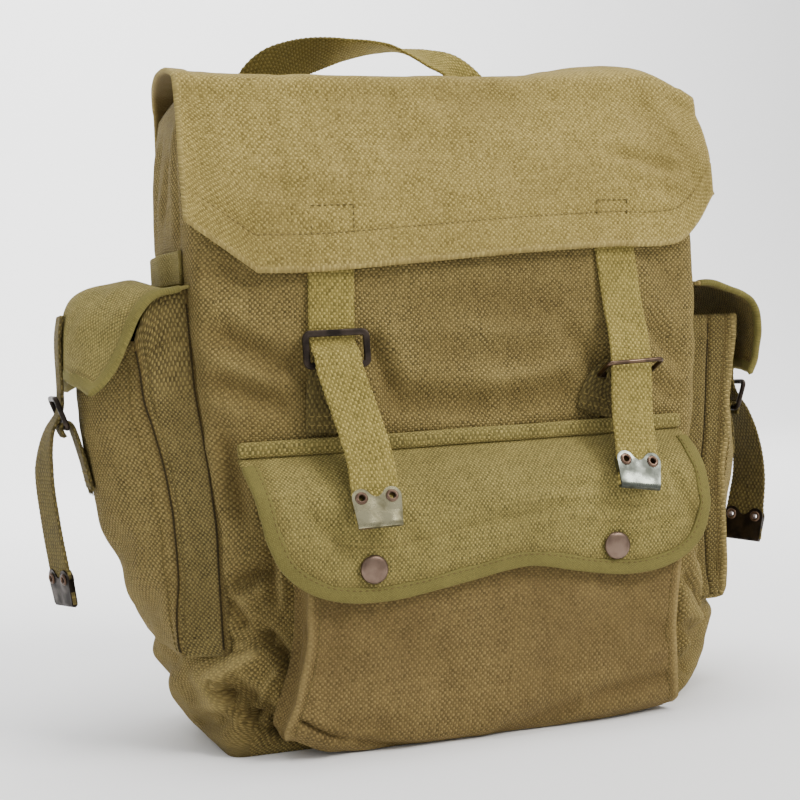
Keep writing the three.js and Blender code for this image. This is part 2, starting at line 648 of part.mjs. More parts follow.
// Side flaps. Columns that start with edge are for the front and back edges and those that start
// with mid for the middle. Out is a share of sideFlapReach and Down of sideFlapDrop.
const sideFlapRows = {
  left: [
    { v: 0, edgeOut: 0, edgeDown: 0, midOut: 0, midDown: 0 },
    { v: 0.12, edgeOut: 0.13, edgeDown: 0.03, midOut: 0.12, midDown: -0.01 },
    { v: 0.28, edgeOut: 0.27, edgeDown: 0.08, midOut: 0.32, midDown: -0.11 },
    { v: 0.46, edgeOut: 0.4, edgeDown: 0.23, midOut: 0.58, midDown: -0.06 },
    { v: 0.62, edgeOut: 0.51, edgeDown: 0.45, midOut: 0.78, midDown: 0.05 },
    { v: 0.76, edgeOut: 0.62, edgeDown: 0.66, midOut: 0.86, midDown: 0.22 },
    { v: 0.88, edgeOut: 0.74, edgeDown: 0.8, midOut: 0.885, midDown: 0.46 },
    { v: 1, edgeOut: 0.85, edgeDown: 0.88, midOut: 0.885, midDown: 0.74 },
  ],
  right: [
    { v: 0, edgeOut: 0, edgeDown: 0, midOut: 0, midDown: 0 },
    { v: 0.14, edgeOut: 0.12, edgeDown: -0.01, midOut: 0.11, midDown: -0.01 },
    { v: 0.3, edgeOut: 0.29, edgeDown: 0.03, midOut: 0.28, midDown: -0.06 },
    { v: 0.46, edgeOut: 0.48, edgeDown: 0.1, midOut: 0.47, midDown: -0.04 },
    { v: 0.6, edgeOut: 0.62, edgeDown: 0.2, midOut: 0.62, midDown: 0.06 },
    { v: 0.76, edgeOut: 0.7, edgeDown: 0.45, midOut: 0.71, midDown: 0.27 },
    { v: 0.88, edgeOut: 0.69, edgeDown: 0.72, midOut: 0.72, midDown: 0.54 },
    { v: 1, edgeOut: 0.63, edgeDown: 0.93, midOut: 0.7, midDown: 0.82 },
  ],
};
const sideFlapTops = {
  left: sidePocketFloor + sidePocketHeight + sideFlapAbove,
  right: sidePocketFloor + sidePocketHeight + sideFlapAbove - sideFlapSag,
};
function sideFlapPoint(name, side) {
  const rows = sideFlapRows[name];
  return (u, v) => {
    const middle = 4 * u * (1 - u);
    const y = (u - 0.5) * sideFlapLength;
    const column = (end) =>
      THREE.MathUtils.lerp(smooth(rows, "v", `edge${end}`, v), smooth(rows, "v", `mid${end}`, v), middle);
    const z = sideFlapTops[name] - column("Down") * sideFlapDrop;
    const seat = sideX(name, y, sideFlapTops[name]) + seatGap + flapCloth / 2;
    return new THREE.Vector3(side * (seat + column("Out") * sideFlapReach), y, z);
  };
}

// Wire buckle in its own XZ plane
function wireFrame() {
  const rings = [];
  const turns = Array.from({ length: 6 }, (_, j) => (j * Math.PI) / 3);
  for (const [sideX, sideZ, quarter] of [[1, 1, 0], [-1, 1, 1], [-1, -1, 2], [1, -1, 3]])
    for (let k = 0; k <= 2; k++) {
      const turn = ((quarter + k / 2) * Math.PI) / 2;
      const outward = new THREE.Vector3(Math.cos(turn), 0, Math.sin(turn));
      const middle = new THREE.Vector3(
        sideX * (buckleWidth / 2 - buckleCorner), 0, sideZ * (buckleHeight / 2 - buckleCorner));
      middle.addScaledVector(outward, buckleCorner);
      rings.push(turns.map((angle) => middle.clone()
        .addScaledVector(outward, Math.cos(angle) * wire)
        .add(new THREE.Vector3(0, Math.sin(angle) * wire, 0))));
    }
  return loft(rings, "loop");
}

// A buckle whose top bar and lower bar have their middles at these places
function buckle(name, top, lower, across) {
  const z = new THREE.Vector3(...top).sub(new THREE.Vector3(...lower)).normalize();
  const x = new THREE.Vector3(...across).projectOnPlane(z).normalize();
  const mesh = add(name, wireFrame(), darkMetal);
  mesh.setRotationFromMatrix(new THREE.Matrix4().makeBasis(x, z.clone().cross(x), z));
  mesh.position.set(...lower).addScaledVector(z, buckleHeight / 2);
}

// Strap tip: folded metal with two ears, round the straight end of a strap, held by two eyelets
const tipHalf = webbing / 2 + gap + tipMetal;
const eyeletPlaces = [-1, 1].map((side) => [(side * eyeletSpacing) / 2, tipLength - earRadius]);
function tipMetalShape() {
  const half = webWidth / 2 + tipOverhang;
  const ear = eyeletSpacing / 2;
  const shoulder = half - ear;
  const foot = -gap - tipMetal;
  const outline = new THREE.Shape();
  outline.moveTo(half, foot + 1);
  outline.lineTo(half, tipLength - earRadius);
  outline.absellipse(ear, tipLength - earRadius, shoulder, earRadius, 0, 0.85 * Math.PI, false);
  outline.quadraticCurveTo(0, tipLength - tipNotch,
    -ear + shoulder * Math.cos(0.15 * Math.PI), tipLength - earRadius + earRadius * Math.sin(0.15 * Math.PI));
  outline.absellipse(-ear, tipLength - earRadius, shoulder, earRadius, 0.15 * Math.PI, Math.PI, false);
  outline.lineTo(-half, foot + 1);
  outline.lineTo(-half + 1, foot);
  outline.lineTo(half - 1, foot);
  const block = new THREE.ExtrudeGeometry(outline, { depth: 2 * tipHalf, bevelEnabled: false, curveSegments: 3 });
  block.rotateX(Math.PI / 2).translate(0, tipHalf, 0);
  const slot = new THREE.BoxGeometry(2 * webWidth, webbing + 2 * gap, 2 * tipLength);
  slot.translate(0, 0, tipLength - gap);
  return cut(block, slot, ...eyeletBores());
}
function eyeletBores() {
  return eyeletPlaces.map(([x, z]) =>
    new THREE.CylinderGeometry(eyeletBarrel + gap, eyeletBarrel + gap, 4 * tipHalf, 8).translate(x, 0, z));
}
function eyelet() {
  const under = tipHalf + gap;
  const top = under + eyeletRim;
  const outline = [
    [eyeletHole, -top], [eyeletFlange, -top], [eyeletFlange, -under], [eyeletBarrel, -under],
    [eyeletBarrel, under], [eyeletHole, under], [eyeletHole, -top],
  ];
  return new THREE.LatheGeometry(outline.map(([r, h]) => new THREE.Vector2(r, h)), 8);
}

// A strap with its metal tip and eyelets
function tippedStrap(name, stops, count, tipMaterial) {
  const { geometry, end } = band(stops, webWidth, count, tipLength);
  add(name, cut(geometry, ...eyeletBores().map((bore) => bore.applyMatrix4(end))), web);
  const group = new THREE.Group();
  group.applyMatrix4(end);
  haversack.add(group);
  const metal = new THREE.Mesh(tipMetalShape(), tipMaterial);
  metal.name = name.replace("strap", "strap_tip");
  group.add(metal);
  eyeletPlaces.forEach(([x, z], i) => {
    const ring = new THREE.Mesh(eyelet(), copper);
    ring.name = `${name.replace("strap", "strap_eyelet")}_${i + 1}`;
    ring.position.set(x, 0, z);
    group.add(ring);
  });
}

// How far a strap, a bar in front of it, and a strap in front of a wrapped bar stand off the cloth
const layer = gap + webbing / 2;
const barOut = gap + webbing + gap + wire;
const wrapOut = webbing / 2 + seatGap + wire;

// A tab of webbing that is sewn down by its lower end and wraps a buckle's bar. foot and rise are
// the places where it lies on the cloth, outward points away from the cloth.
function chape(name, foot, rise, bar, acrossFoot, acrossBar, outward) {
  const middle = new THREE.Vector3(...bar);
  const down = new THREE.Vector3(...rise).sub(middle).projectOnPlane(new THREE.Vector3(...acrossBar)).normalize();
  const back = new THREE.Vector3(...outward).negate().projectOnPlane(down).normalize();
  const around = (angle) => middle.clone()
    .addScaledVector(back, Math.cos(angle) * wrapOut)
    .addScaledVector(down, -Math.sin(angle) * wrapOut);
  const places = [0, 1, 2, 3, 4].map((k) => around((k * Math.PI) / 4));
  places.push(around(Math.PI).addScaledVector(down, 4));
  const stops = [{ at: foot, across: acrossFoot }, { at: rise, across: acrossFoot }];
  places.forEach((place) => stops.push({ at: place.toArray(), across: acrossBar }));
  add(name, band(stops, webWidth, 20).geometry, web);
}

// Lid straps. They come from under the lid, go behind a buckle's top bar and over its lower bar,
// and hang in front of the flap. across is a share of sackWidth / 2, up a share of the sack's wall
// from the front flap's seam to the sack's top, and free a share of pocketDepth off the cloth.
const onWall = (across, up, out) =>
  inFront((across * sackWidth) / 2, THREE.MathUtils.lerp(flapTop, sackHeight, up), out);
const alongWall = (across, up) =>
  alongFront((across * sackWidth) / 2, THREE.MathUtils.lerp(flapTop, sackHeight, up));
const lidStrapRows = {
  left: [
    { across: -0.503, up: 0.619, free: 0 },
    { across: -0.507, up: 0.51, free: 0 },
    { across: -0.517, up: 0.376, free: 0 },
    { across: -0.521, up: 0.304, free: 0.03 },
    { across: -0.517, up: 0.271, free: 0.27 },
    { across: -0.514, up: 0.232, free: 0.37 },
    { across: -0.483, up: 0.108, free: 0.72 },
    { across: -0.462, up: -0.005, free: 1.1 },
    { across: -0.462, up: -0.085, free: 1.33 },
  ],
  right: [
    { across: 0.634, up: 0.624, free: 0 },
    { across: 0.641, up: 0.51, free: 0 },
    { across: 0.645, up: 0.376, free: 0.12 },
    { across: 0.641, up: 0.289, free: 0.36 },
    { across: 0.628, up: 0.206, free: 0.58 },
    { across: 0.593, up: 0.072, free: 0.9 },
    { across: 0.569, up: -0.046, free: 1.27 },
  ],
};
for (const [name, rows] of Object.entries(lidStrapRows)) {
  const stops = rows.map(({ across, up, free }) =>
    ({ at: onWall(across, up, layer + free * pocketDepth), across: alongWall(across, up) }));
  tippedStrap(`lid_strap_${name}`, stops, 14, steel);
}

// The left buckle hangs flat and the right one is pulled forward by its strap. Their columns, and
// those of the tabs' sewn ends, are shares as for the straps.
const lidBuckleRows = {
  left: { across: -0.51, top: 0.33, topOut: barOut, lower: 0.242, lowerOut: barOut + 2 * gap },
  right: { across: 0.628, top: 0.21, topOut: 5 * barOut, lower: 0.173, lowerOut: 1.7 * barOut },
};
const lidChapeRows = {
  left: { foot: [-0.55, 0.06], rise: [-0.538, 0.18] },
  right: { foot: [0.565, 0.09], rise: [0.605, 0.13] },
};
for (const name of ["left", "right"]) {
  const { across, top, topOut, lower, lowerOut } = lidBuckleRows[name];
  const { foot, rise } = lidChapeRows[name];
  const bar = onWall(across, lower, lowerOut);
  buckle(`lid_buckle_${name}`, onWall(across, top, topOut), bar, alongWall(across, lower));
  chape(`lid_chape_${name}`, onWall(...foot, layer + 1.5 * seatGap), onWall(...rise, layer + 1.5 * seatGap), bar,
    alongWall(...foot), alongWall(across, lower), [0, -1, 0]);
}

// Side pockets with their flaps, straps, buckles and tabs. Columns: out is a share of
// sidePocketReach beyond the sack's half-width, up a share of sidePocketHeight above its floor, and
// turn the angle of the width in degrees.
const upPocket = (up) => sidePocketFloor + up * sidePocketHeight;
const sideStrapRows = {
  left: [
    { out: 1.045, up: 0.848, turn: 0 },
    { out: 1.06, up: 0.794, turn: 0 },
    { out: 1.16, up: 0.727, turn: 5 },
    { out: 1.22, up: 0.606, turn: 16 },
    { out: 1.19, up: 0.424, turn: 17 },
    { out: 1.14, up: 0.273, turn: 18 },
  ],
  right: [
    { out: 0.87, up: 0.758, turn: 0 },
    { out: 0.91, up: 0.709, turn: 0 },
    { out: 1.01, up: 0.642, turn: 5 },
    { out: 1.1, up: 0.533, turn: 10 },
    { out: 1.12, up: 0.4, turn: 20 },
    { out: 1.06, up: 0.267, turn: 34 },
  ],
};
const sideBuckleRows = {
  left: { topOut: 1.105, top: 0.83, lowerOut: 1.02, lower: 0.739 },
  right: { topOut: 0.955, top: 0.745, lowerOut: 0.87, lower: 0.655 },
};
const sideChapeRows = { left: { foot: 0.533, rise: 0.636 }, right: { foot: 0.485, rise: 0.582 } };
for (const [name, side] of [["left", -1], ["right", 1]]) {
  const beyond = (out) => side * (sackWidth / 2 + out * sidePocketReach);
  const sectionAt = (z) => sidePocketSection(name, side, z);
  const pocket = pouch(sectionAt, sidePocketFloor, sidePocketHeight, sidePocketLevels, sidePocketRise(name));
  add(`side_pocket_${name}`, cut(pocket, sackFull), cloth);

  const flap = sideFlapPoint(name, side);
  add(`side_flap_${name}`, sheet(flap, steps(9), steps(10), flapCloth), flapGreen);

  const onFlap = [0.74, 0.82, 0.9, 0.98].map((v) => {
    const out = new THREE.Vector3().crossVectors(
      flap(0.5, v + 0.01).sub(flap(0.5, v - 0.01)), new THREE.Vector3(0, side, 0)).normalize();
    const at = flap(0.5, v).addScaledVector(out, (flapCloth + webbing) / 2 + seatGap);
    return { at: at.toArray(), across: [0, side, 0] };
  });
  const hanging = sideStrapRows[name].map(({ out, up, turn }) => {
    const angle = THREE.MathUtils.degToRad(turn);
    return { at: [beyond(out), 0, upPocket(up)], across: [-side * Math.sin(angle), side * Math.cos(angle), 0] };
  });
  tippedStrap(`side_strap_${name}`, [...onFlap, ...hanging], 18, darkMetal);

  const { topOut, top, lowerOut, lower } = sideBuckleRows[name];
  const bar = [beyond(lowerOut), 0, upPocket(lower)];
  buckle(`side_buckle_${name}`, [beyond(topOut), 0, upPocket(top)], bar, [0, side, 0]);
  const { foot, rise } = sideChapeRows[name];
  const onPocket = (up) => [side * (sidePocketOut(name, 0, upPocket(up)) + layer + seatGap), 0, upPocket(up)];
  const level = [0, side, 0];
  chape(`side_chape_${name}`, onPocket(foot), onPocket(rise), bar, level, level, [side, 0, 0]);

  // The band that is sewn flat to the sack above the flap, with its middle free
  const loopZ = sideFlapTops[name] + loopAboveFlap;
  const loopStops = [-0.5, -0.36, -0.18, 0, 0.18, 0.36, 0.5].map((share) => {
    const y = share * loopLength;
    const off = Math.abs(share) < 0.3 ? loopStandoff : 0;
    return { at: [side * (sideX(name, y, loopZ) + layer + off), y, loopZ], across: [0, 0, 1] };
  });
  add(`side_loop_${name}`, band(loopStops, loopWidth, 10).geometry, tapeGreen);
}

// Handle. across and up are shares of handleSpan / 2 and of handleRise above the sack's top edge,
// ahead is the distance in front of the back panel's outer face, and width is its direction.
const handleRows = [
  { across: -1.05, up: -0.95, ahead: 0, width: [1, 0, 0] },
  { across: -1.05, up: -0.1, ahead: 0, width: [1, 0, 0.05] },
  { across: -1.06, up: 0.25, ahead: 0, width: [1, 0.1, 0.15] },
  { across: -1.07, up: 0.52, ahead: 3, width: [1, 0.3, 0.4] },
  { across: -1, up: 0.83, ahead: 7, width: [0.5, 0.35, 0.85] },
  { across: -0.7, up: 0.88, ahead: 8, width: [-0.05, 0.4, 0.95] },
  { across: -0.25, up: 0.95, ahead: 8, width: [-0.1, 0.75, 0.6] },
  { across: 0.1, up: 1, ahead: 8, width: [0, 1, 0.05] },
  { across: 0.42, up: 0.88, ahead: 7, width: [-0.2, 0.7, -0.6] },
  { across: 0.65, up: 0.76, ahead: 5, width: [-0.6, 0.5, -0.6] },
  { across: 0.82, up: 0.5, ahead: 2, width: [-0.95, 0.2, -0.3] },
  { across: 0.9, up: 0.25, ahead: 0, width: [-1, 0.1, -0.1] },
  { across: 0.94, up: -0.1, ahead: 0, width: [-1, 0, 0] },
  { across: 0.94, up: -0.95, ahead: 0, width: [-1, 0, 0] },
];
const handleOut = seatGap + flapCloth + layer + seatGap;
const handleStops = handleRows.map(({ across, up, ahead, width }) => {
  const x = (across * handleSpan) / 2;
  const z = sackHeight + up * handleRise;
  return { at: [x, backY(x, Math.min(z, sackHeight)) + handleOut - ahead, z], across: width };
});
add("handle", band(handleStops, webWidth, 30).geometry, web);

export default haversack;
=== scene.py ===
"""A canvas haversack, dressed over its CAD frame: an open sack under a strapped lid, a flapped pocket on
its front, a strapped pocket on each side and a carrying handle. Shapes are worked out in millimetres, in
the frame's own axes: +X is to the right of someone who faces the bag, -Y is its front and +Z is up."""
import math

import bpy
import numpy as np
from mathutils import Matrix
from mathutils.geometry import delaunay_2d_cdt


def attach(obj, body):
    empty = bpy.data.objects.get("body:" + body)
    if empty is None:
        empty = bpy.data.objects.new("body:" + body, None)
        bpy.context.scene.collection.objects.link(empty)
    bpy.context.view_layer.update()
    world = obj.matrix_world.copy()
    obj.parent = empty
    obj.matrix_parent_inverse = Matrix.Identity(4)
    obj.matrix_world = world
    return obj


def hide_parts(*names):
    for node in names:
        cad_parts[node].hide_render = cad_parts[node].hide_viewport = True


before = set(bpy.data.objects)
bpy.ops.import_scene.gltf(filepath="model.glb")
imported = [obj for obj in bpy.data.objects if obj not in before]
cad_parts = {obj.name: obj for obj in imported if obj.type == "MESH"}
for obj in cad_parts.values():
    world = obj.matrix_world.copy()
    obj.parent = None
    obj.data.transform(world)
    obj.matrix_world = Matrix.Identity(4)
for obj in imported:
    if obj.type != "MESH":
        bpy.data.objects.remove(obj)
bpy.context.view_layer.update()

MM = 0.001
CANVAS = 2.0
FLAP_CLOTH = 2.4
WEBBING = 2.0
WEB_WIDTH = 25.0
GAP = 0.3
SEAT_GAP = 0.6


# Numbers and fields
def unit(vectors):
    """Each vector divided by its own length."""
    return vectors / np.maximum(np.linalg.norm(vectors, axis=-1, keepdims=True), 1e-9)


def ease(x, low, high):
    """0 below low, 1 above high, and a smooth step between them."""
    t = np.clip((x - low) / (high - low), 0, 1)
    return t * t * (3 - 2 * t)


def bell(x, width):
    """1 at 0, falling off as a Gaussian of that width."""
    return np.exp(-((x / width) ** 2))


def mix(a, b, t):
    """a where t is 0, b where t is 1, straight between them."""
    return a + (b - a) * t


def circle(count):
    """Even angles round a full turn, from 0."""
    return np.arange(count) * 2 * math.pi / count


def signed_power(x, power):
    """x with its size raised to a power and its sign kept."""
    return np.sign(x) * np.abs(x) ** power


def cubic(table, column, x):
    """One column of a table over its first column: a cubic between neighbouring rows, whose slope at each
    row is that from the row before to the row after."""
    keys = np.asarray(next(iter(table.values())), float)
    values = np.asarray(table[column], float)
    x = np.asarray(x, float)
    place = np.arange(len(keys))
    after = np.minimum(place + 1, len(keys) - 1)
    before = np.maximum(place - 1, 0)
    slope = (values[after] - values[before]) / (keys[after] - keys[before])
    i = np.clip(np.searchsorted(keys, x, side="right") - 1, 0, len(keys) - 2)
    span = keys[i + 1] - keys[i]
    t = np.clip((x - keys[i]) / span, 0, 1)
    stay = (1 + 2 * t) * (1 - t) ** 2
    return (stay * values[i] + (1 - stay) * values[i + 1]
            + t * (1 - t) ** 2 * span * slope[i] + t * t * (t - 1) * span * slope[i + 1])


def rumple(points, size, seed):
    """A smooth field from -1 to 1: a hashed value at each corner of a lattice of cells of that size, blended
    inside each cell by smooth steps."""
    scaled = points / np.asarray(size, float) + 100.0
    cell = np.floor(scaled).astype(np.int64)
    f = scaled - cell
    f = f * f * (3 - 2 * f)
    total = np.zeros(points.shape[:-1])
    for dx in (0, 1):
        for dy in (0, 1):
            for dz in (0, 1):
                corner = cell + (dx, dy, dz)
                n = corner[..., 0] * 73856093 ^ corner[..., 1] * 19349663 ^ corner[..., 2] * 83492791
                n = (n + seed * 1013904223) & 0x7FFFFFFF
                n = (n ^ (n >> 13)) * 1274126177 & 0x7FFFFFFF
                n = (n ^ (n >> 16)) * 668265263 & 0x7FFFFFFF
                value = (n & 0xFFFF) / 32767.5 - 1
                total += (value * np.where(dx, f[..., 0], 1 - f[..., 0])
                          * np.where(dy, f[..., 1], 1 - f[..., 1]) * np.where(dz, f[..., 2], 1 - f[..., 2]))
    return total


def folds(points, outward, rows):
    """How far each point moves outwards for a table of folds, and how much painted shade it gets for lying
    deep in a hollow. A row is a line from one place to another, the fold's depth and width, and the height of
    the ridges beside it: a
    Gaussian groove along the line, with a ridge 1.7 widths to each side, the first one on the left. A
    negative depth is a ridge."""
    moved = np.zeros(points.shape[:-1])
    painted_shade = np.zeros(points.shape[:-1])
    for start, end, depth, width, left, right in rows:
        start, end = np.asarray(start, float), np.asarray(end, float)
        line = end - start
        t = (points - start) @ line / (line @ line)
        clamped = np.clip(t, 0, 1)
        away = points - (start + clamped[..., None] * line)
        beside = unit(np.cross(unit(line), outward))
        off = np.sum(away * beside, -1)
        past = np.abs(t - clamped) * np.linalg.norm(line)
        fade = bell(past, 1.5 * width) * np.clip(1.25 - 1.1 * np.abs(2 * clamped - 1) ** 3, 0, 1)
        near = bell(np.linalg.norm(away, axis=-1) - np.abs(off), 10 + 1.5 * width)
        groove = bell(off, width) * fade * near
        moved += (-depth * groove + left * bell(off - 1.7 * width, width) * fade * near
                  + right * bell(off + 1.7 * width, width) * fade * near)
        # painted shade: each crease is darkened in the colour by its depth
        painted_shade += groove * min(max(depth, 0) / 6, 1.5) * min(5 / width, 1)
    return moved, painted_shade


# Meshes
def keep(name, points, faces, uvs, material, nodes=(), marks=None, sharp=None):
    """A piece from points in mm and arrays of quads and triangles with their corners' flat places in mm.
    All faces are turned together, so that the volume they enclose is positive."""
    points = np.ascontiguousarray(points.reshape(-1, 3), float)
    middle = points.mean(0)
    volume = 0.0
    for f in faces:
        for k in range(1, f.shape[1] - 1):
            a, b, c = (points[f[:, j]] - middle for j in (0, k, k + 1))
            volume += np.einsum("ij,ij->", a, np.cross(b, c))
    if volume < 0:
        faces = [f[:, ::-1] for f in faces]
        uvs = [u[:, ::-1] for u in uvs]
    corners = np.concatenate([f.ravel() for f in faces])
    sizes = np.concatenate([np.full(len(f), f.shape[1]) for f in faces])
    mesh = bpy.data.meshes.new(name)
    mesh.vertices.add(len(points))
    mesh.vertices.foreach_set("co", (points * MM).astype(np.float32).ravel())
    mesh.loops.add(len(corners))
    mesh.loops.foreach_set("vertex_index", corners.astype(np.int32))
    mesh.polygons.add(len(sizes))
    mesh.polygons.foreach_set("loop_start", (np.cumsum(sizes) - sizes).astype(np.int32))
    mesh.polygons.foreach_set("use_smooth", np.ones(len(sizes), bool))
    mesh.update(calc_edges=True)
    flat = np.concatenate([u.reshape(-1, 2) for u in uvs]) * MM
    mesh.uv_layers.new(name="Flat").data.foreach_set("uv", flat.astype(np.float32).ravel())
    for mark, values in (marks or {}).items():
        held = mesh.attributes.new(mark, "FLOAT", "POINT")
        held.data.foreach_set("value", np.ascontiguousarray(values, np.float32).ravel())
    if sharp is not None:
        mesh.set_sharp_from_angle(angle=math.radians(sharp))
    piece = bpy.data.objects.new(name, mesh)
    bpy.context.scene.collection.objects.link(piece)
    mesh.materials.append(material)
    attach(piece, "root")
    if nodes:
        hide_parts(*nodes)
    return piece


def cells(rows, columns, wrap=False):
    """The corner numbers of each cell of a grid, whose last column meets its first where wrap is true."""
    r = np.arange(rows - 1)[:, None]
    c = np.arange(columns if wrap else columns - 1)[None, :]
    d = (c + 1) % columns
    return np.stack([r * columns + c, r * columns + d, (r + 1) * columns + d, (r + 1) * columns + c],
                    -1).reshape(-1, 4)


def loft(rings, flat, ends=True):
    """Points and faces of closed rings joined in turn. The first and last ring are closed by a fan round
    their middle, or the last ring meets the first where ends is false."""
    rows, columns = rings.shape[:2]
    points = rings.reshape(-1, 3)
    uv = flat.reshape(-1, 2)
    if ends:
        quads = cells(rows, columns, True)
        quad_uv = uv[cells(rows, columns + 1)]
        middle = len(points) + np.arange(2)
        points = np.vstack([points, rings[0].mean(0), rings[-1].mean(0)])
        c = np.arange(columns)
        d = (c + 1) % columns
        last = (rows - 1) * columns
        fans = np.vstack([
            np.stack([d, c, np.full(columns, middle[0])], -1),
            np.stack([last + c, last + d, np.full(columns, middle[1])], -1)])
        fan_uv = np.stack([np.vstack([flat[0, 1:], flat[-1, :-1]]), np.vstack([flat[0, :-1], flat[-1, 1:]]),
                           np.repeat(np.stack([flat[0].mean(0), flat[-1].mean(0)]), columns, 0)], 1)
        return points, [quads, fans], [quad_uv, fan_uv]
    quads = cells(rows + 1, columns, True) % (rows * columns)
    return points, [quads], [uv[cells(rows + 1, columns + 1)]]


def normals_of(grid):
    """The unit normal at each point of a grid: the cross product of its steps along columns and rows."""
    return unit(np.cross(np.gradient(grid, axis=1), np.gradient(grid, axis=0)))


def lengths(grid, axis):
    """The distance along a grid's rows or columns, from the first to each point."""
    step = np.linalg.norm(np.diff(grid, axis=axis), axis=-1)
    start = np.zeros_like(np.take(step, [0], axis))
    return np.concatenate([start, np.cumsum(step, axis)], axis)


def flat_places(grid):
    """A grid's flat places: the distance along its middle row, and the mean distance down its columns."""
    across = lengths(grid, 1)
    down = lengths(grid, 0)
    middle = grid.shape[1] // 2
    return np.stack([across - across[:, middle:middle + 1], np.broadcast_to(down.mean(1)[:, None],
                                                                            down.shape)], -1)


def cloth_sheet(grid, flat, thickness, normals=None):
    """A closed sheet round a grid of middle points: the grid moved half the thickness to each side along its
    normals, both sides meeting in a border that stands half a thickness beyond the edge."""
    rows, columns = grid.shape[:2]
    half = np.broadcast_to(np.asarray(thickness, float), (rows, columns)) / 2
    normals = normals_of(grid) if normals is None else normals

    def border(values, reach):
        wide = np.pad(values, ((1, 1), (1, 1)) + ((0, 0),) * (values.ndim - 2), mode="edge")
        if reach is None:
            return wide
        edge = np.pad(half, 1, mode="edge")[..., None]
        out = np.zeros_like(wide)
        out[:, 0] += unit(wide[:, 1] - wide[:, 2])
        out[:, -1] += unit(wide[:, -2] - wide[:, -3])
        out[0] += unit(wide[1] - wide[2])
        out[-1] += unit(wide[-2] - wide[-3])
        return wide + unit(out) * edge * (np.linalg.norm(out, axis=-1, keepdims=True) > 0)

    middle = border(grid, True)
    rise = np.zeros(middle.shape[:2])
    rise[1:-1, 1:-1] = half
    side = border(normals, None)
    top = middle + side * rise[..., None]
    under = grid - normals * half[..., None]
    points = np.vstack([top.reshape(-1, 3), under.reshape(-1, 3)])
    upper = np.arange(top.shape[0] * top.shape[1]).reshape(top.shape[:2])
    lower = upper.copy()
    lower[1:-1, 1:-1] = upper.size + np.arange(rows * columns).reshape(rows, columns)
    grid_cells = cells(rows + 2, columns + 2)
    uv = border(flat, None).reshape(-1, 2)[grid_cells]
    faces = np.vstack([upper.ravel()[grid_cells], lower.ravel()[grid_cells][:, ::-1]])
    return points, [faces], [np.vstack([uv, uv[:, ::-1]])]


def on_sheet(values):
    """A value per grid point, as a value per point of the sheet made round that grid."""
    return np.concatenate([np.pad(values, 1, mode="edge").ravel(), values.ravel()])


# Routes
def curve(places, share):
    """Places and directions on the centripetal Catmull-Rom curve through the given places: a cubic between
    neighbours, its knots spaced by the square root of their distance."""
    p = np.asarray(places, float)
    last = len(p) - 1
    place = np.clip(share, 0, 1) * last
    i = np.minimum(place.astype(int), last - 1)
    w = (place - i)[:, None]
    wide = np.vstack([2 * p[0] - p[1], p, 2 * p[-1] - p[-2]])
    a, b, c, d = (wide[i + k] for k in range(4))
    knot = [np.maximum(np.sum((y - x) ** 2, -1, keepdims=True) ** 0.25, 1e-4) for x,
            y in ((a, b), (b, c), (c, d))]
    leave = ((b - a) / knot[0] - (c - a) / (knot[0] + knot[1]) + (c - b) / knot[1]) * knot[1]
    arrive = ((c - b) / knot[1] - (d - b) / (knot[1] + knot[2]) + (d - c) / knot[2]) * knot[1]
    second = -3 * b + 3 * c - 2 * leave - arrive
    third = 2 * b - 2 * c + leave + arrive
    return b + w * (leave + w * (second + w * third)), unit(leave + w * (2 * second + 3 * w * third))


def route(stops, widths, step=0.9, straight=0.0):
    """Even steps along the curve through the stops: middle, direction along, direction across and the normal,
    which is across turned onto along. straight adds a straight end of that length."""
    fine = np.linspace(0, 1, 900)
    middle, _ = curve(stops, fine)
    run = lengths(middle, 0)
    count = max(int(math.ceil(run[-1] / step)), 4)
    share = np.interp(np.linspace(0, run[-1], count + 1), run, fine)
    middle, along = curve(stops, share)
    widths = unit(np.asarray(widths, float))
    place = share * (len(widths) - 1)
    i = np.minimum(place.astype(int), len(widths) - 2)
    across = mix(widths[i], widths[i + 1], (place - i)[:, None])
    across = unit(across - along * np.sum(across * along, -1, keepdims=True))
    if straight > 0:
        more = math.ceil(straight / step)
        extra = np.arange(1, more + 1)[:, None] * straight / more
        middle = np.vstack([middle, middle[-1] + extra * along[-1]])
        along = np.vstack([along, np.repeat(along[-1:], len(extra), 0)])
        across = np.vstack([across, np.repeat(across[-1:], len(extra), 0)])
    return {"middle": middle, "along": along, "across": across, "normal": np.cross(across, along),
            "run": lengths(middle, 0)}


def end_frame(way):
    """The frame at a route's end: X across, Y along the normal and Z back along the route."""
    frame4 = np.eye(4)
    frame4[:3, 0], frame4[:3, 1], frame4[:3, 2] = way["across"][-1], way["normal"][-1], -way["along"][-1]
    frame4[:3, 3] = way["middle"][-1]
    return frame4


def web_profile(width, thickness, count=11):
    """A webbing's section as (across, up, distance round it): two flat faces and two half-round edges."""
    half = thickness / 2
    flat = np.linspace(-width / 2 + half, width / 2 - half, count)
    turn = np.linspace(-math.pi / 2, math.pi / 2, 5)[1:-1]
    across = np.concatenate([flat, width / 2 - half + np.cos(turn) * half, flat[::-1],
                             -width / 2 + half - np.cos(turn) * half])
    up = np.concatenate([np.full(count, -half), np.sin(turn) * half, np.full(count, half),
                         -np.sin(turn) * half])
    closed = np.stack([np.append(across, across[0]), np.append(up, up[0])], -1)
    round_it = lengths(closed, 0)
    return across, up, round_it


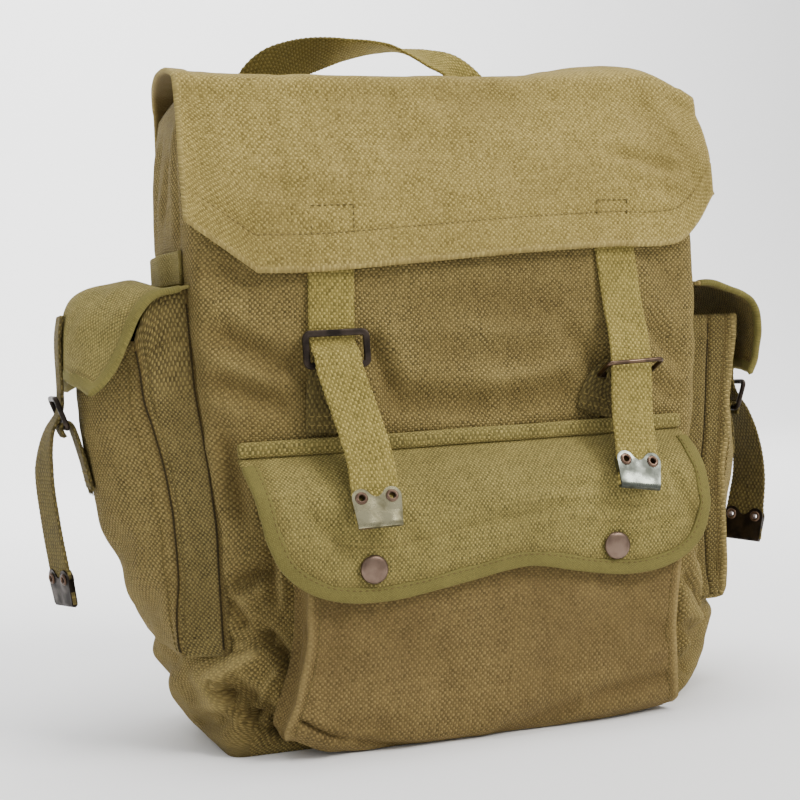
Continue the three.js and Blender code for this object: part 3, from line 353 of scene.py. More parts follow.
def belt(way, width, thickness, cup=0.0, scallop=0.25, start=0, stop=None):
    """Webbing along a route: its section carried along, the edges scalloped once per weft thread and the face
    cupped across as a parabola."""
    across, up, round_it = web_profile(width, thickness)
    rows = slice(start, stop)
    run = way["run"][rows]
    wave = 1 + scallop / width * 2 * np.sin(2 * math.pi * run / 2.7)[:,
                                                                     None] * (np.abs(across) > width * 0.45)
    bend = cup * (1 - (2 * across / width) ** 2)
    rings = (way["middle"][rows][:, None] + way["across"][rows][:, None] * (across * wave)[..., None]
             + way["normal"][rows][:, None] * np.broadcast_to(up + bend, wave.shape)[..., None])
    flat = np.stack(np.broadcast_arrays(round_it[None] - width / 2, run[:, None]), -1)
    return loft(rings, flat)


def tube(middle, radius, sides):
    """A round cord along places: a circle carried along them, at right angles to their direction."""
    along = unit(np.gradient(middle, axis=0))
    across = unit(np.cross(along, [0.0, 0.0, 1.0]) + 1e-6)
    up = np.cross(across, along)
    turn = circle(sides)
    radius = radius[:, None]
    rings = (middle[:, None] + across[:, None] * (np.cos(turn) * radius)[..., None]
             + up[:, None] * (np.sin(turn) * radius)[..., None])
    round_it = np.arange(sides + 1) * 2 * math.pi / sides * radius.mean()
    flat = np.stack(np.broadcast_arrays(round_it[None], lengths(middle, 0)[:, None]), -1)
    return loft(rings, flat)


def stitch_line(path, outward, pitch=3.1, length=2.35, thread=0.42, sink=0.3):
    """Separate stitches along a path, as one set of points and faces: each is a thread of six sides and five
    rings that rises as half a sine out of the cloth and dives back in."""
    path, outward = np.asarray(path, float), np.asarray(outward, float)
    run = lengths(path, 0)
    count = max(int(run[-1] / pitch), 1)
    begin = np.linspace(0, run[-1] - length, count) if count > 1 else np.array([0.0])
    share = np.linspace(0, 1, 5)
    at = begin[:, None] + share * length
    place = np.stack([np.interp(at, run, path[:, k]) for k in range(3)], -1)
    up = unit(np.stack([np.interp(at, run, outward[:, k]) for k in range(3)], -1))
    along = unit(np.gradient(place, axis=1))
    beside = unit(np.cross(along, up))
    thick = thread * (0.55 + 0.45 * np.sin(math.pi * share))
    place = place + up * (np.sin(math.pi * share) * thread * 0.9 - sink)[:, None]
    turn = np.arange(6) * math.pi / 3
    rings = (place[:, :, None] + beside[:, :, None] * (np.cos(turn) * thick[:, None])[..., None]
             + up[:, :, None] * (np.sin(turn) * thick[:, None])[..., None])
    one = cells(5, 6, True)
    quads = (one[None] + np.arange(count)[:, None, None] * 30).reshape(-1, 4)
    caps = np.array([[3, 2, 1, 0], [5, 4, 3, 0], [24, 25, 26, 27], [24, 27, 28, 29]])
    quads = np.vstack([quads, (caps[None] + np.arange(count)[:, None, None] * 30).reshape(-1, 4)])
    return rings.reshape(-1, 3), quads


def sew(name, lines, material):
    """One piece from several stitch lines."""
    points, quads, total = [], [], 0
    for p, q in lines:
        points.append(p)
        quads.append(q + total)
        total += len(p)
    points, quads = np.vstack(points), np.vstack(quads)
    return keep(name, points, [quads], [points[quads][..., [0, 2]]], material)


# Materials
def feed(tree, node, inputs):
    """Sets a node's inputs to numbers, or links them to sockets."""
    for key, value in inputs.items():
        if isinstance(value, bpy.types.NodeSocket):
            tree.links.new(value, node.inputs[key])
        else:
            node.inputs[key].default_value = value


def put(tree, kind, inputs=None, **settings):
    """A node with its settings and its inputs."""
    made = tree.nodes.new(kind)
    for key, value in settings.items():
        setattr(made, key, value)
    feed(tree, made, inputs or {})
    return made


def calc(tree, operation, a, b=0.5, c=0.5, clamp=False):
    """The output of a Math node."""
    return put(tree, "ShaderNodeMath", {0: a, 1: b, 2: c}, operation=operation, use_clamp=clamp).outputs[0]


def blend(tree, share, a, b, mode="MIX"):
    """The output of a colour Mix node."""
    made = put(tree, "ShaderNodeMix", {0: share, 6: a, 7: b}, data_type="RGBA", blend_type=mode)
    return made.outputs[2]


def group(name, inputs, outputs):
    """An empty shader node group with its sockets, its tree and its ends."""
    tree = bpy.data.node_groups.new(name, "ShaderNodeTree")
    for socket, kind, value in inputs:
        made = tree.interface.new_socket(name=socket, in_out="INPUT", socket_type=kind)
        made.default_value = value
    for socket, kind in outputs:
        tree.interface.new_socket(name=socket, in_out="OUTPUT", socket_type=kind)
    return tree, tree.nodes.new("NodeGroupInput"), tree.nodes.new("NodeGroupOutput")


FLOAT, VECTOR, COLOUR = "NodeSocketFloat", "NodeSocketVector", "NodeSocketColor"


def weave_group():
    """Plain weave on flat places in metres. With X and Y counted in threads, sin(pi X) sin(pi Y) is high
    where the warp lies on top and low where the weft does, and each thread has its own shade."""
    tree, given, out = group(
        "weave",
        [("Flat", VECTOR, (0, 0, 0)), ("Warp Pitch", FLOAT, 0.0014), ("Weft Pitch", FLOAT, 0.0014),
         ("Wander", FLOAT, 0.35), ("Weft Height", FLOAT, 0.45)],
        [("Height", FLOAT), ("Dots", FLOAT), ("Yarn", FLOAT)])
    flat = given.outputs["Flat"]
    slow = put(tree, "ShaderNodeTexNoise", {"Vector": flat, "Scale": 55.0, "Detail": 2.0},
               noise_dimensions="2D")
    quick = put(tree, "ShaderNodeTexNoise", {"Vector": flat, "Scale": 420.0, "Detail": 1.0},
                noise_dimensions="2D")
    both = put(tree, "ShaderNodeVectorMath", {0: quick.outputs["Color"], 1: (0.35, 0.35, 0.35)},
               operation="MULTIPLY")
    summed = put(tree, "ShaderNodeVectorMath", {0: slow.outputs["Color"], 1: both.outputs[0]},
                 operation="ADD")
    shift = put(tree, "ShaderNodeVectorMath", {0: summed.outputs[0], 1: (0.675, 0.675, 0.675)},
                operation="SUBTRACT")
    parts = put(tree, "ShaderNodeSeparateXYZ", {0: flat})
    drift = put(tree, "ShaderNodeSeparateXYZ", {0: shift.outputs[0]})
    threads = []
    for axis, pitch in (("X", "Warp Pitch"), ("Y", "Weft Pitch")):
        counted = calc(tree, "DIVIDE", parts.outputs[axis], given.outputs[pitch])
        moved = calc(tree, "MULTIPLY", drift.outputs[axis], given.outputs["Wander"])
        threads.append(calc(tree, "MULTIPLY_ADD", moved, 5.0, counted))
    waves = [calc(tree, "SINE", calc(tree, "MULTIPLY", t, math.pi)) for t in threads]
    checker = calc(tree, "MULTIPLY", waves[0], waves[1])
    over = calc(tree, "POWER", calc(tree, "MAXIMUM", checker, 0.0), 0.7)
    below = calc(tree, "POWER", calc(tree, "MAXIMUM", calc(tree, "MULTIPLY", checker, -1.0), 0.0), 0.7)
    height = calc(tree, "MULTIPLY_ADD", below, given.outputs["Weft Height"], over)
    floors = [calc(tree, "FLOOR", thread) for thread in threads]
    shades = []
    for seed, floor in enumerate(floors):
        number = put(tree, "ShaderNodeTexWhiteNoise", {"W": calc(tree, "ADD", floor, seed * 57.3)},
                     noise_dimensions="1D")
        shades.append(number.outputs["Value"])
    crossing = put(tree, "ShaderNodeCombineXYZ", {0: floors[0], 1: floors[1]})
    spot = put(tree, "ShaderNodeTexWhiteNoise", {"Vector": crossing.outputs[0]}, noise_dimensions="2D")
    slub = put(tree, "ShaderNodeTexNoise", {"Vector": flat, "Scale": 900.0, "Detail": 1.0},
               noise_dimensions="2D")
    yarn = calc(tree, "MULTIPLY_ADD", calc(tree, "ADD", shades[0], shades[1]), 0.1,
                calc(tree, "MULTIPLY_ADD", spot.outputs["Value"], 0.45,
                     calc(tree, "MULTIPLY", slub.outputs[0], 0.35)))
    feed(tree, out, {"Height": height, "Dots": over, "Yarn": yarn})
    return tree


def ageing_and_shade_group():
    """Sun, dirt and rubbing on cloth, with painted shade and highlight: slow cloudy patches shift the colour,
    painted shade makes hollows and shaded sides darker and browner, and worn edges and painted highlights are
    paler."""
    tree, given, out = group(
        "ageing_and_shade",
        [("Color", COLOUR, (0.3, 0.25, 0.1, 1)), ("Place", VECTOR, (0, 0, 0)), ("Painted Shade", FLOAT, 0.0),
         ("Wear And Highlight", FLOAT, 0.0), ("Patches", FLOAT, 0.5), ("Stain And Shade", COLOUR, (0.16, 0.11, 0.04, 1)),
         ("Pale", COLOUR, (0.5, 0.42, 0.2, 1))],
        [("Color", COLOUR), ("Roughness", FLOAT)])
    cloud = put(tree, "ShaderNodeTexNoise", {"Vector": given.outputs["Place"], "Scale": 14.0, "Detail": 3.0})
    fine = put(tree, "ShaderNodeTexNoise", {"Vector": given.outputs["Place"], "Scale": 75.0, "Detail": 3.0})
    spread = put(tree, "ShaderNodeMapRange", {0: cloud.outputs[0], 1: 0.38, 2: 0.66, 3: 0.0, 4: 1.0})
    speck = put(tree, "ShaderNodeMapRange", {0: fine.outputs[0], 1: 0.3, 2: 0.75, 3: 0.0, 4: 1.0})
    amount = calc(tree, "MULTIPLY", spread.outputs[0], given.outputs["Patches"])
    colour = blend(tree, calc(tree, "MULTIPLY", amount, 0.5), given.outputs["Color"], given.outputs["Stain And Shade"])
    colour = blend(tree, calc(tree, "MULTIPLY", speck.outputs[0], 0.10), colour, given.outputs["Pale"])
    # painted shade: places marked as shaded blend towards the stain colour, darker and browner
    colour = blend(tree, calc(tree, "MULTIPLY", given.outputs["Painted Shade"], 0.55, clamp=True), colour,
                   given.outputs["Stain And Shade"])
    # paler where worn, and a painted highlight on the sack's raised ridges
    colour = blend(tree, calc(tree, "MULTIPLY", given.outputs["Wear And Highlight"], 0.6, clamp=True), colour,
                   given.outputs["Pale"])
    rough = put(tree, "ShaderNodeMapRange", {0: speck.outputs[0], 1: 0.0, 2: 1.0, 3: 0.86, 4: 0.98})
    feed(tree, out, {"Color": colour, "Roughness": rough.outputs[0]})
    return tree


def tarnish_group():
    """Metal that has been handled: cloudy dull patches over the clean colour and fine scratches."""
    tree, given, out = group(
        "tarnish",
        [("Place", VECTOR, (0, 0, 0)), ("Clean", COLOUR, (0.6, 0.6, 0.6, 1)),
         ("Dull", COLOUR, (0.2, 0.18, 0.15, 1)),
         ("Amount", FLOAT, 0.5), ("Gloss", FLOAT, 0.3), ("Matt", FLOAT, 0.6)],
        [("Color", COLOUR), ("Roughness", FLOAT), ("Height", FLOAT)])
    cloud = put(tree, "ShaderNodeTexNoise", {"Vector": given.outputs["Place"], "Scale": 120.0, "Detail": 4.0})
    long = put(tree, "ShaderNodeMapping", {"Vector": given.outputs["Place"], "Scale": (300.0, 300.0, 2400.0)})
    scratch = put(tree, "ShaderNodeTexNoise", {"Vector": long.outputs[0], "Scale": 1.0, "Detail": 2.0})
    dull = put(tree, "ShaderNodeMapRange", {0: cloud.outputs[0], 1: 0.4, 2: 0.62, 3: 0.0, 4: 1.0})
    share = calc(tree, "MULTIPLY", dull.outputs[0], given.outputs["Amount"])
    colour = blend(tree, share, given.outputs["Clean"], given.outputs["Dull"])
    rough = put(tree, "ShaderNodeMapRange",
                {0: calc(tree, "MULTIPLY_ADD", scratch.outputs[0], 0.3, share), 1: 0.0, 2: 1.2,
                 3: given.outputs["Gloss"], 4: given.outputs["Matt"]})
    height = calc(tree, "MULTIPLY_ADD", scratch.outputs[0], 0.35,
                  calc(tree, "MULTIPLY", cloud.outputs[0], 0.65))
    feed(tree, out, {"Color": colour, "Roughness": rough.outputs[0], "Height": height})
    return tree


WEAVE, AGEING_AND_SHADE, TARNISH = weave_group(), ageing_and_shade_group(), tarnish_group()


def place_group(tree, shared, inputs):
    """A shared group placed in a material with its own values."""
    return put(tree, "ShaderNodeGroup", inputs, node_tree=shared)


def colour(red, green, blue):
    """A display colour from 0 to 255 as linear values."""
    shares = [c / 255 for c in (red, green, blue)]
    return tuple(c / 12.92 if c <= 0.04045 else ((c + 0.055) / 1.055) ** 2.4 for c in shares) + (1.0,)


def bare(name):
    """A new material with an empty tree but for its output and its shader."""
    material = bpy.data.materials.new(name)
    material.use_nodes = True
    tree = material.node_tree
    tree.nodes.clear()
    out = tree.nodes.new("ShaderNodeOutputMaterial")
    shader = tree.nodes.new("ShaderNodeBsdfPrincipled")
    tree.links.new(shader.outputs[0], out.inputs[0])
    return material, tree, shader


def fabric(name, deep, light, stain_and_shade, pale, pitch=(1.38, 1.38), bump=0.5, dots=0.8, patches=0.5, wander=0.35,
           weft=0.45, sheen=0.25):
    """Woven cloth: deep between the threads and light on their tops, aged, with painted shade and painted
    highlight from its marks, and with the weave's own relief.
    """
    material, tree, shader = bare(name)
    flat = put(tree, "ShaderNodeUVMap", uv_map="Flat").outputs[0]
    place = tree.nodes.new("ShaderNodeTexCoord").outputs["Object"]
    # marks of painted shade, and of wear with a painted highlight on the sack's ridges
    painted_shade = put(tree, "ShaderNodeAttribute", attribute_name="painted_shade").outputs["Fac"]
    worn = put(tree, "ShaderNodeAttribute", attribute_name="worn").outputs["Fac"]
    weave = place_group(tree, WEAVE, {"Flat": flat, "Warp Pitch": pitch[0] * MM, "Weft Pitch": pitch[1] * MM,
                                      "Wander": wander, "Weft Height": weft})
    share = calc(tree, "MULTIPLY_ADD", weave.outputs["Yarn"], 0.6,
                 calc(tree, "MULTIPLY", weave.outputs["Dots"], dots))
    base = blend(tree, calc(tree, "SUBTRACT", share, 0.12, clamp=True), colour(*deep), colour(*light))
    aged_and_shaded = place_group(tree, AGEING_AND_SHADE, {"Color": base, "Place": place, "Painted Shade": painted_shade, "Wear And Highlight": worn,
                                      "Patches": patches, "Stain And Shade": colour(*stain_and_shade), "Pale": colour(*pale)})
    raised = put(tree, "ShaderNodeBump", {"Height": weave.outputs["Height"], "Strength": bump,
                                          "Distance": 0.0006})
    feed(tree, shader, {"Base Color": aged_and_shaded.outputs["Color"], "Roughness": aged_and_shaded.outputs["Roughness"],
                        "Normal": raised.outputs[0], "Sheen Weight": sheen, "Sheen Roughness": 0.6,
                        "Sheen Tint": colour(*pale), "Specular IOR Level": 0.2})
    return material


def metal(name, clean, dull, amount, gloss, matt, bump=0.15):
    """Handled metal with tarnish and scratches."""
    material, tree, shader = bare(name)
    place = tree.nodes.new("ShaderNodeTexCoord").outputs["Object"]
    worn = place_group(tree, TARNISH, {"Place": place, "Clean": colour(*clean), "Dull": colour(*dull),
                                       "Amount": amount, "Gloss": gloss, "Matt": matt})
    raised = put(tree, "ShaderNodeBump", {"Height": worn.outputs["Height"], "Strength": bump,
                                          "Distance": 0.0003})
    feed(tree, shader, {"Base Color": worn.outputs["Color"], "Roughness": worn.outputs["Roughness"],
                        "Normal": raised.outputs[0], "Metallic": 1.0})
    return material


# A dark olive for stains and for the painted shade in creases and hollows
OLIVE_STAIN_AND_SHADE = (74, 58, 26)
STRAW = (190, 170, 112)
# The lid's canvas is paler than the sack's partly as painted light: the lid faces up into the light and the
# sack's walls face away from it.
lid_canvas = fabric("lid_canvas", (96, 82, 36), (184, 165, 94), OLIVE_STAIN_AND_SHADE, STRAW, patches=0.55, dots=0.6,
                    wander=0.5)
sack_canvas = fabric("sack_canvas", (62, 53, 26), (156, 136, 80), OLIVE_STAIN_AND_SHADE, (176, 158, 102), patches=0.8,
                     bump=1.0,
                     dots=1.0)
pocket_canvas = fabric("pocket_canvas", (72, 59, 32), (140, 119, 72), (70, 54, 28), (160, 140, 90),
                       patches=0.7,
                       dots=0.6)
gusset_canvas = fabric("gusset_canvas", (42, 36, 17), (138, 122, 70), OLIVE_STAIN_AND_SHADE, STRAW, pitch=(1.15, 1.25),
                       bump=1.0,
                       dots=1.0)
flap_canvas = fabric("flap_canvas", (74, 67, 30), (166, 150, 86), (74, 64, 30), (174, 160, 104),
                     pitch=(1.1, 1.35),
                     dots=0.75, bump=0.6)
green_tape = fabric("green_tape", (88, 81, 40), (128, 119, 64), (74, 68, 32), (150, 140, 84),
                    pitch=(0.6, 0.8),
                    dots=0.4, bump=0.3)
yellow_web = fabric("yellow_web", (86, 76, 30), (178, 160, 88), (66, 57, 25), (198, 182, 112),
                    pitch=(1.3, 1.75),
                    bump=0.85, dots=0.7, wander=0.25)
dark_web = fabric("dark_web", (50, 43, 20), (118, 104, 58), (46, 38, 18), (150, 134, 84), pitch=(1.35, 2.1),
                  bump=0.8)
thread = fabric("thread", (112, 98, 50), (160, 142, 86), OLIVE_STAIN_AND_SHADE, STRAW, pitch=(0.3, 0.4), dots=0.3,
                bump=0.2)
dark_thread = fabric("dark_thread", (66, 56, 26), (108, 94, 50), OLIVE_STAIN_AND_SHADE, STRAW, pitch=(0.3, 0.4),
                     dots=0.3,
                     bump=0.2)
# near-black thread, standing in for the shade in the side pockets' seams
seam_shade_thread = fabric("seam_shade_thread", (30, 26, 12), (58, 50, 26), OLIVE_STAIN_AND_SHADE, OLIVE_STAIN_AND_SHADE, pitch=(0.3, 0.4),
                     dots=0.3,
                     bump=0.2, sheen=0.0)
dark_metal = metal("dark_metal", (64, 56, 50), (30, 27, 25), 0.8, 0.38, 0.62)
worn_wire = metal("worn_wire", (96, 78, 64), (44, 36, 30), 0.7, 0.3, 0.5)
steel = metal("steel", (182, 176, 142), (92, 88, 66), 0.9, 0.12, 0.42, bump=0.3)
dull_steel = metal("dull_steel", (104, 108, 100), (54, 56, 50), 0.8, 0.2, 0.45, bump=0.12)
brown_metal = metal("brown_metal", (106, 86, 72), (70, 54, 44), 0.7, 0.3, 0.55)
stud_metal = metal("stud_metal", (120, 101, 88), (84, 68, 58), 0.6, 0.32, 0.52)


# Sack: half-widths of its corners as shares of half its width, its faces as shares of half its depth, and
# its swellings as shares of its depth, over its height
SACK_WIDTH, SACK_DEPTH, SACK_HEIGHT, SACK_CORNER = 290.0, 134.0, 350.0, 9.0
SACK = {
    "height": [0, 0.023, 0.07, 0.125, 0.2, 0.38, 0.54, 0.7, 0.84, 0.94, 1],
    "west": [0.955, 0.955, 0.925, 0.905, 0.91, 0.938, 0.98, 0.99, 1, 1, 0.985],
    "east": [0.84, 0.87, 0.9, 0.91, 0.92, 0.94, 0.99, 1.015, 1.01, 1, 0.985],
    "rear_corner": [0.86, 0.89, 0.93, 0.95, 0.96, 0.97, 0.98, 0.985, 0.985, 0.975, 0.955],
    "front": [0.92, 0.97, 0.975, 0.98, 0.985, 0.985, 0.985, 0.98, 0.925, 0.84, 0.76],
    "rear": [0.86, 0.93, 0.97, 0.99, 1, 1, 0.995, 0.985, 0.93, 0.875, 0.84],
    "belly": [0.02, 0.03, 0.045, 0.05, 0.05, 0.06, 0.065, 0.06, 0.045, 0.02, 0.015],
    "left": [0.05, 0.1, 0.17, 0.23, 0.19, 0.08, 0.045, 0.045, 0.04, 0.02, 0.01],
    "right": [0.16, 0.23, 0.27, 0.28, 0.18, 0.08, 0.045, 0.045, 0.04, 0.02, 0.01],
}


def sack_at(z, column):
    """A column of the sack's table at a height in mm."""
    return cubic(SACK, column, np.clip(np.asarray(z, float) / SACK_HEIGHT, 0, 1))


def front_y(x, z):
    """The sack's front: its corner line, less a parabola across it."""
    west, east = -sack_at(z, "west") * SACK_WIDTH / 2, sack_at(z, "east") * SACK_WIDTH / 2
    t = np.clip((x - west) / (east - west), 0, 1)
    return -sack_at(z, "front") * SACK_DEPTH / 2 - sack_at(z, "belly") * SACK_DEPTH * 4 * t * (1 - t)


def back_y(x, z):
    """The sack's back: its corner line and a shallow parabola across it."""
    corner = sack_at(z, "rear_corner") * SACK_WIDTH / 2
    swell = sack_at(z, "belly") * SACK_DEPTH * 0.3
    return sack_at(z, "rear") * SACK_DEPTH / 2 + swell * (1 - np.minimum(x / corner, 1) ** 2)


def side_x(name, y, z):
    """The half-width of a side at (y, z): straight from front to back corner, and a parabola between."""
    front, rear = -sack_at(z, "front") * SACK_DEPTH / 2, sack_at(z, "rear") * SACK_DEPTH / 2
    t = np.clip((y - front) / (rear - front), 0, 1)
    corner = mix(sack_at(z, "west" if name == "left" else "east"), sack_at(z, "rear_corner"), t)
    return corner * SACK_WIDTH / 2 + sack_at(z, name) * SACK_DEPTH * 4 * t * (1 - t)


def pouch_rings(corners, swell, radius, inset, counts, turn=6):
    """Rings of four swelling panels with rounded corners, inset from their outline: each panel is a straight
    line with a parabola on it and each corner a quadratic curve."""
    nxt = np.roll(corners, -1, 1)
    length = np.linalg.norm(nxt - corners, axis=-1, keepdims=True)
    normal = np.stack([nxt[..., 1] - corners[..., 1], corners[..., 0] - nxt[..., 0]], -1) / length
    before = np.roll(normal, 1, 1)
    share = inset / (1 + np.sum(before * normal, -1, keepdims=True))
    moved = corners - (before + normal) * share
    after = np.roll(moved, -1, 1)
    trim = np.maximum(radius - inset, 1) / np.linalg.norm(after - moved, axis=-1)

    def panel(i, t):
        return (mix(moved[:, i, None], after[:, i, None], t[..., None])
                + normal[:, i, None] * (swell[:, i, None] * 4 * t * (1 - t))[..., None])

    parts = []
    for i in range(4):
        t = trim[:, i, None] + (1 - 2 * trim[:, i, None]) * np.linspace(0, 1, counts[i] + 1)
        parts.append(panel(i, t))
        j = (i + 1) % 4
        start, end = panel(i, 1 - trim[:, i, None]), panel(j, trim[:, j, None])
        k = np.linspace(0, 1, turn + 2)[1:-1][:, None]
        parts.append(start * (1 - k) ** 2 + 2 * moved[:, j, None] * k * (1 - k) + end * k * k)
    return np.concatenate(parts, 1)


def sack_rings(z, inset, counts):
    """The sack's rings at heights z, inset from its outline."""
    z = np.asarray(z, float)
    west, east = -sack_at(z, "west") * SACK_WIDTH / 2, sack_at(z, "east") * SACK_WIDTH / 2
    rear_x = sack_at(z, "rear_corner") * SACK_WIDTH / 2
    front, rear = -sack_at(z, "front") * SACK_DEPTH / 2, sack_at(z, "rear") * SACK_DEPTH / 2
    corners = np.stack([np.stack([west, front], -1), np.stack([east, front], -1),
                        np.stack([rear_x, rear], -1), np.stack([-rear_x, rear], -1)], 1)
    swell = np.stack([sack_at(z, "belly"), sack_at(z, "right"), sack_at(z, "belly") * 0.3,
                      sack_at(z, "left")], 1)
    flat = pouch_rings(corners, swell * SACK_DEPTH, SACK_CORNER, inset, counts)
    return np.concatenate([flat, np.broadcast_to(z[:, None, None], flat.shape[:2] + (1,))], -1)


# The solid's own folds: from and to as shares of half the width, half the depth and the height, with depth
# and width as shares of the depth
CAD_FOLDS = [
    ((-1.02, -0.85, 0.125), (-0.8, -1.05, 0.02), 0.07, 0.065),
    ((-0.97, -0.9, 0.2), (-0.9, -1, 0.16), 0.035, 0.07),
    ((1.06, -0.7, 0.11), (0.86, -1, 0.035), 0.06, 0.06),
    ((-1.12, 0, 0.12), (-1.05, 0.6, 0.04), 0.04, 0.08),
    ((1.12, 0.1, 0.13), (1.05, 0.7, 0.05), 0.04, 0.08),
]


def sack_outward(points):
    """The level direction outwards from the sack's middle line, turned towards the nearest face."""
    flat = np.stack([points[..., 0] / SACK_WIDTH, points[..., 1] / SACK_DEPTH, np.zeros(points.shape[:-1])],
                    -1)
    return unit(signed_power(flat, 2.2))


# Folds of the sack's cloth: from, to, depth, width, ridge on the left, ridge on the right, in mm
SACK_FOLDS = [
    ((-149, -54, 39), (-131, -62, 24), 12, 2.6, 0, 2),
    ((-131, -62, 24), (-108, -67, 8), 14, 2.8, 0, 2),
    ((-141, -58, 40), (-124, -65, 28), 7, 5.5, 0, 0),
    ((-124, -65, 28), (-109, -67, 14), 6, 5, 0, 0),
    ((-150, -51, 40), (-138, -62, 49), -6, 4.2, 0, 0),
    ((-138, -62, 49), (-121, -67, 57), -6.5, 4.2, 0, 0),
    ((-151, -47, 55), (-134, -64, 60), 6.5, 2.6, 0, 0),
    ((-134, -62, 91), (-115, -70, 101), 6.5, 5, 2.5, 1.5),
    ((-114, -69, 112), (-114, -70, 78), 4.5, 2.6, 0, 0),
    ((-109, -70, 112), (-110, -71, 78), -3.5, 3, 0, 0),
    ((-111, -66, 47), (-124, -68, 31), -3.5, 2.2, 0, 0),
    ((-120, -67, 68), (-104, -68, 45), 8, 3.2, 1.5, 1),
    ((-104, -68, 45), (-108, -67, 22), 8, 3.2, 1, 1),
    ((-138, -62, 84), (-128, -66, 68), 5, 4, 1.5, 2),
    ((-146, -56, 34), (-130, -63, 18), -3, 5, 0, 0),
    ((-130, -63, 18), (-113, -67, 6), -2.5, 4, 0, 0),
    ((-160, -50, 44), (-140, -60, 26), -4, 11, 0, 0),
    ((-150, -30, 52), (-160, 20, 30), 4, 7, 2, 2),
    ((-140, -62, 20), (-150, -20, 12), 4, 5, 2, 1),
    ((-134, -66, 14), (-112, -72, 6), 2.5, 4, 1, 0),
    ((154, -28, 42), (130, -60, 18), 7, 11, 0, 0),
    ((138, -62, 96), (150, -45, 62), 5.5, 5, 2.5, 3),
    ((128, -66, 74), (150, -50, 46), 5, 4.5, 2.5, 2.5),
    ((124, -66, 44), (148, -48, 30), 4.5, 4.5, 2, 2),
    ((118, -66, 26), (138, -54, 12), 3.5, 4.5, 1.5, 1.5),
    ((130, -66, 112), (144, -58, 86), 4, 4, 1.5, 2),
    ((116, -68, 66), (124, -66, 30), 3, 4, 1, 1.5),
    ((156, -30, 60), (164, 20, 34), 4, 7, 2, 2),
    ((-143, -64, 228), (-96, -74, 200), 5, 6.5, 2, 1.8),
    ((-142, -66, 200), (-98, -74, 182), 4, 6, 1.8, 1.6),
    ((-98, -74, 216), (-86, -74, 186), 3, 8, 0.6, 0.3),
    ((-136, -66, 174), (-128, -68, 122), 5, 5.5, 2, 2),
    ((-116, -70, 160), (-110, -70, 118), 2.6, 5.5, 1.2, 1.4),
    ((-144, -62, 262), (-112, -72, 246), 2, 7, 1, 1),
    ((-56, -76, 240), (64, -76, 228), 2.4, 10, 1.4, 1.2),
    ((-30, -76, 208), (60, -76, 202), 2.2, 8, 1.2, 1.2),
    ((-52, -76, 184), (20, -76, 177), 6, 8, 1.5, 0),
    ((14, -76, 177), (66, -76, 185), 4.5, 8, 1.5, 0),
    ((-56, -76, 220), (-42, -76, 186), 5, 6, 1, 1.5),
    ((4, -76, 190), (66, -76, 198), -2.4, 6, 0, 0),
    ((56, -76, 220), (86, -74, 188), 3.4, 8, 1.2, 0.8),
    ((112, -72, 222), (138, -66, 186), 3, 7, 1.4, 1.4),
    ((108, -72, 190), (134, -68, 172), 2.4, 6, 1.2, 1),
    ((112, -72, 262), (138, -66, 236), 1.8, 7, 0.8, 0.8),
    ((-130, 66, 60), (-20, 68, 24), 2.5, 12, 1.2, 1.2),
    ((120, 66, 80), (60, 68, 30), 2.5, 12, 1.2, 1.2),
    ((-110, 66, 250), (-60, 68, 180), 1.6, 14, 0.8, 0.8),
    ((100, 66, 240), (60, 68, 150), 1.6, 14, 0.8, 0.8),
    ((-146, -44, 346), (-149, -40, 268), 2.5, 6, 0.6, 2),
    ((-146, 10, 340), (-150, 24, 274), 1.6, 8, 1.5, 1),
    ((-148, -24, 322), (-152, -8, 284), 1.2, 5, 1, 0.6),
    ((148, -10, 330), (150, 10, 270), 2.5, 8, 1.5, 1.5),
]


def covered(points):
    """1 where a strap, the flap's seam, the lid or a side loop lies on the sack, so that it stays below
    them."""
    x, y, z = points[..., 0], points[..., 1], points[..., 2]
    front = ease(-y, 40, 60)
    strap = np.zeros(x.shape)
    for low, high in ((-96, -60), (66, 108)):
        strap = np.maximum(strap, ease(x, low - 6, low) * (1 - ease(x, high, high + 6)))
    strap *= ease(z, 156, 164)
    seam = bell(z - 160, 9) * (1 - ease(np.abs(x), 128, 136))
    lid = ease(z, 250, 262)
    side = ease(np.abs(x), 130, 142) * (1 - front) * ease(z, 228, 236) * (1 - ease(z, 268, 276))
    return np.maximum(front * np.maximum(np.maximum(strap, seam), lid), side)


def sack_shape(points):
    """The sack's rings moved by its folds and by slow slackness, with the painted shade of its hollows and
    the painted highlight on its raised ridges.
    """
    level = unit(np.stack([points[..., 0] / SACK_WIDTH, points[..., 1] / SACK_DEPTH,
                           np.zeros(points.shape[:-1])], -1))
    moved = np.zeros(points.shape[:-1])
    for start, end, depth, width in CAD_FOLDS:
        a = np.array(start) * [SACK_WIDTH / 2, SACK_DEPTH / 2, SACK_HEIGHT]
        b = np.array(end) * [SACK_WIDTH / 2, SACK_DEPTH / 2, SACK_HEIGHT]
        t = np.clip((points - a) @ (b - a) / ((b - a) @ (b - a)), 0, 1)
        away = np.linalg.norm(points - (a + t[..., None] * (b - a)), axis=-1) / (width * SACK_DEPTH)
        moved -= depth * 0.4 * SACK_DEPTH * np.exp(-away * away)
    points = points + level * moved[..., None]
    outward = sack_outward(points)
    fold, painted_shade = folds(points, outward, SACK_FOLDS)
    slack = 1.3 * rumple(points, 46, 3) + 0.8 * rumple(points, 21, 5) + 0.3 * rumple(points, 9, 6)
    low = 0.7 * ease(-points[..., 2], -110, -20)
    slack += low * (1.5 * rumple(points, (17, 17, 13), 8) + 0.7 * rumple(points, 8, 9))
    seam = 1 - 0.75 * ease(points[..., 2], 325, 345)
    out = (fold + slack * 0.9) * seam
    out = np.where(out > 0, out * (1 - covered(points)), out)
    points = points + outward * out[..., None]
    points[..., 2] -= 4 * ease(points[..., 0], 122, 143) * ease(points[..., 2], 325, 350)
    # the last value is a painted highlight on the raised ridges, which catch the light
    return points, painted_shade, 0.5 * ease(out, 1.2, 6)


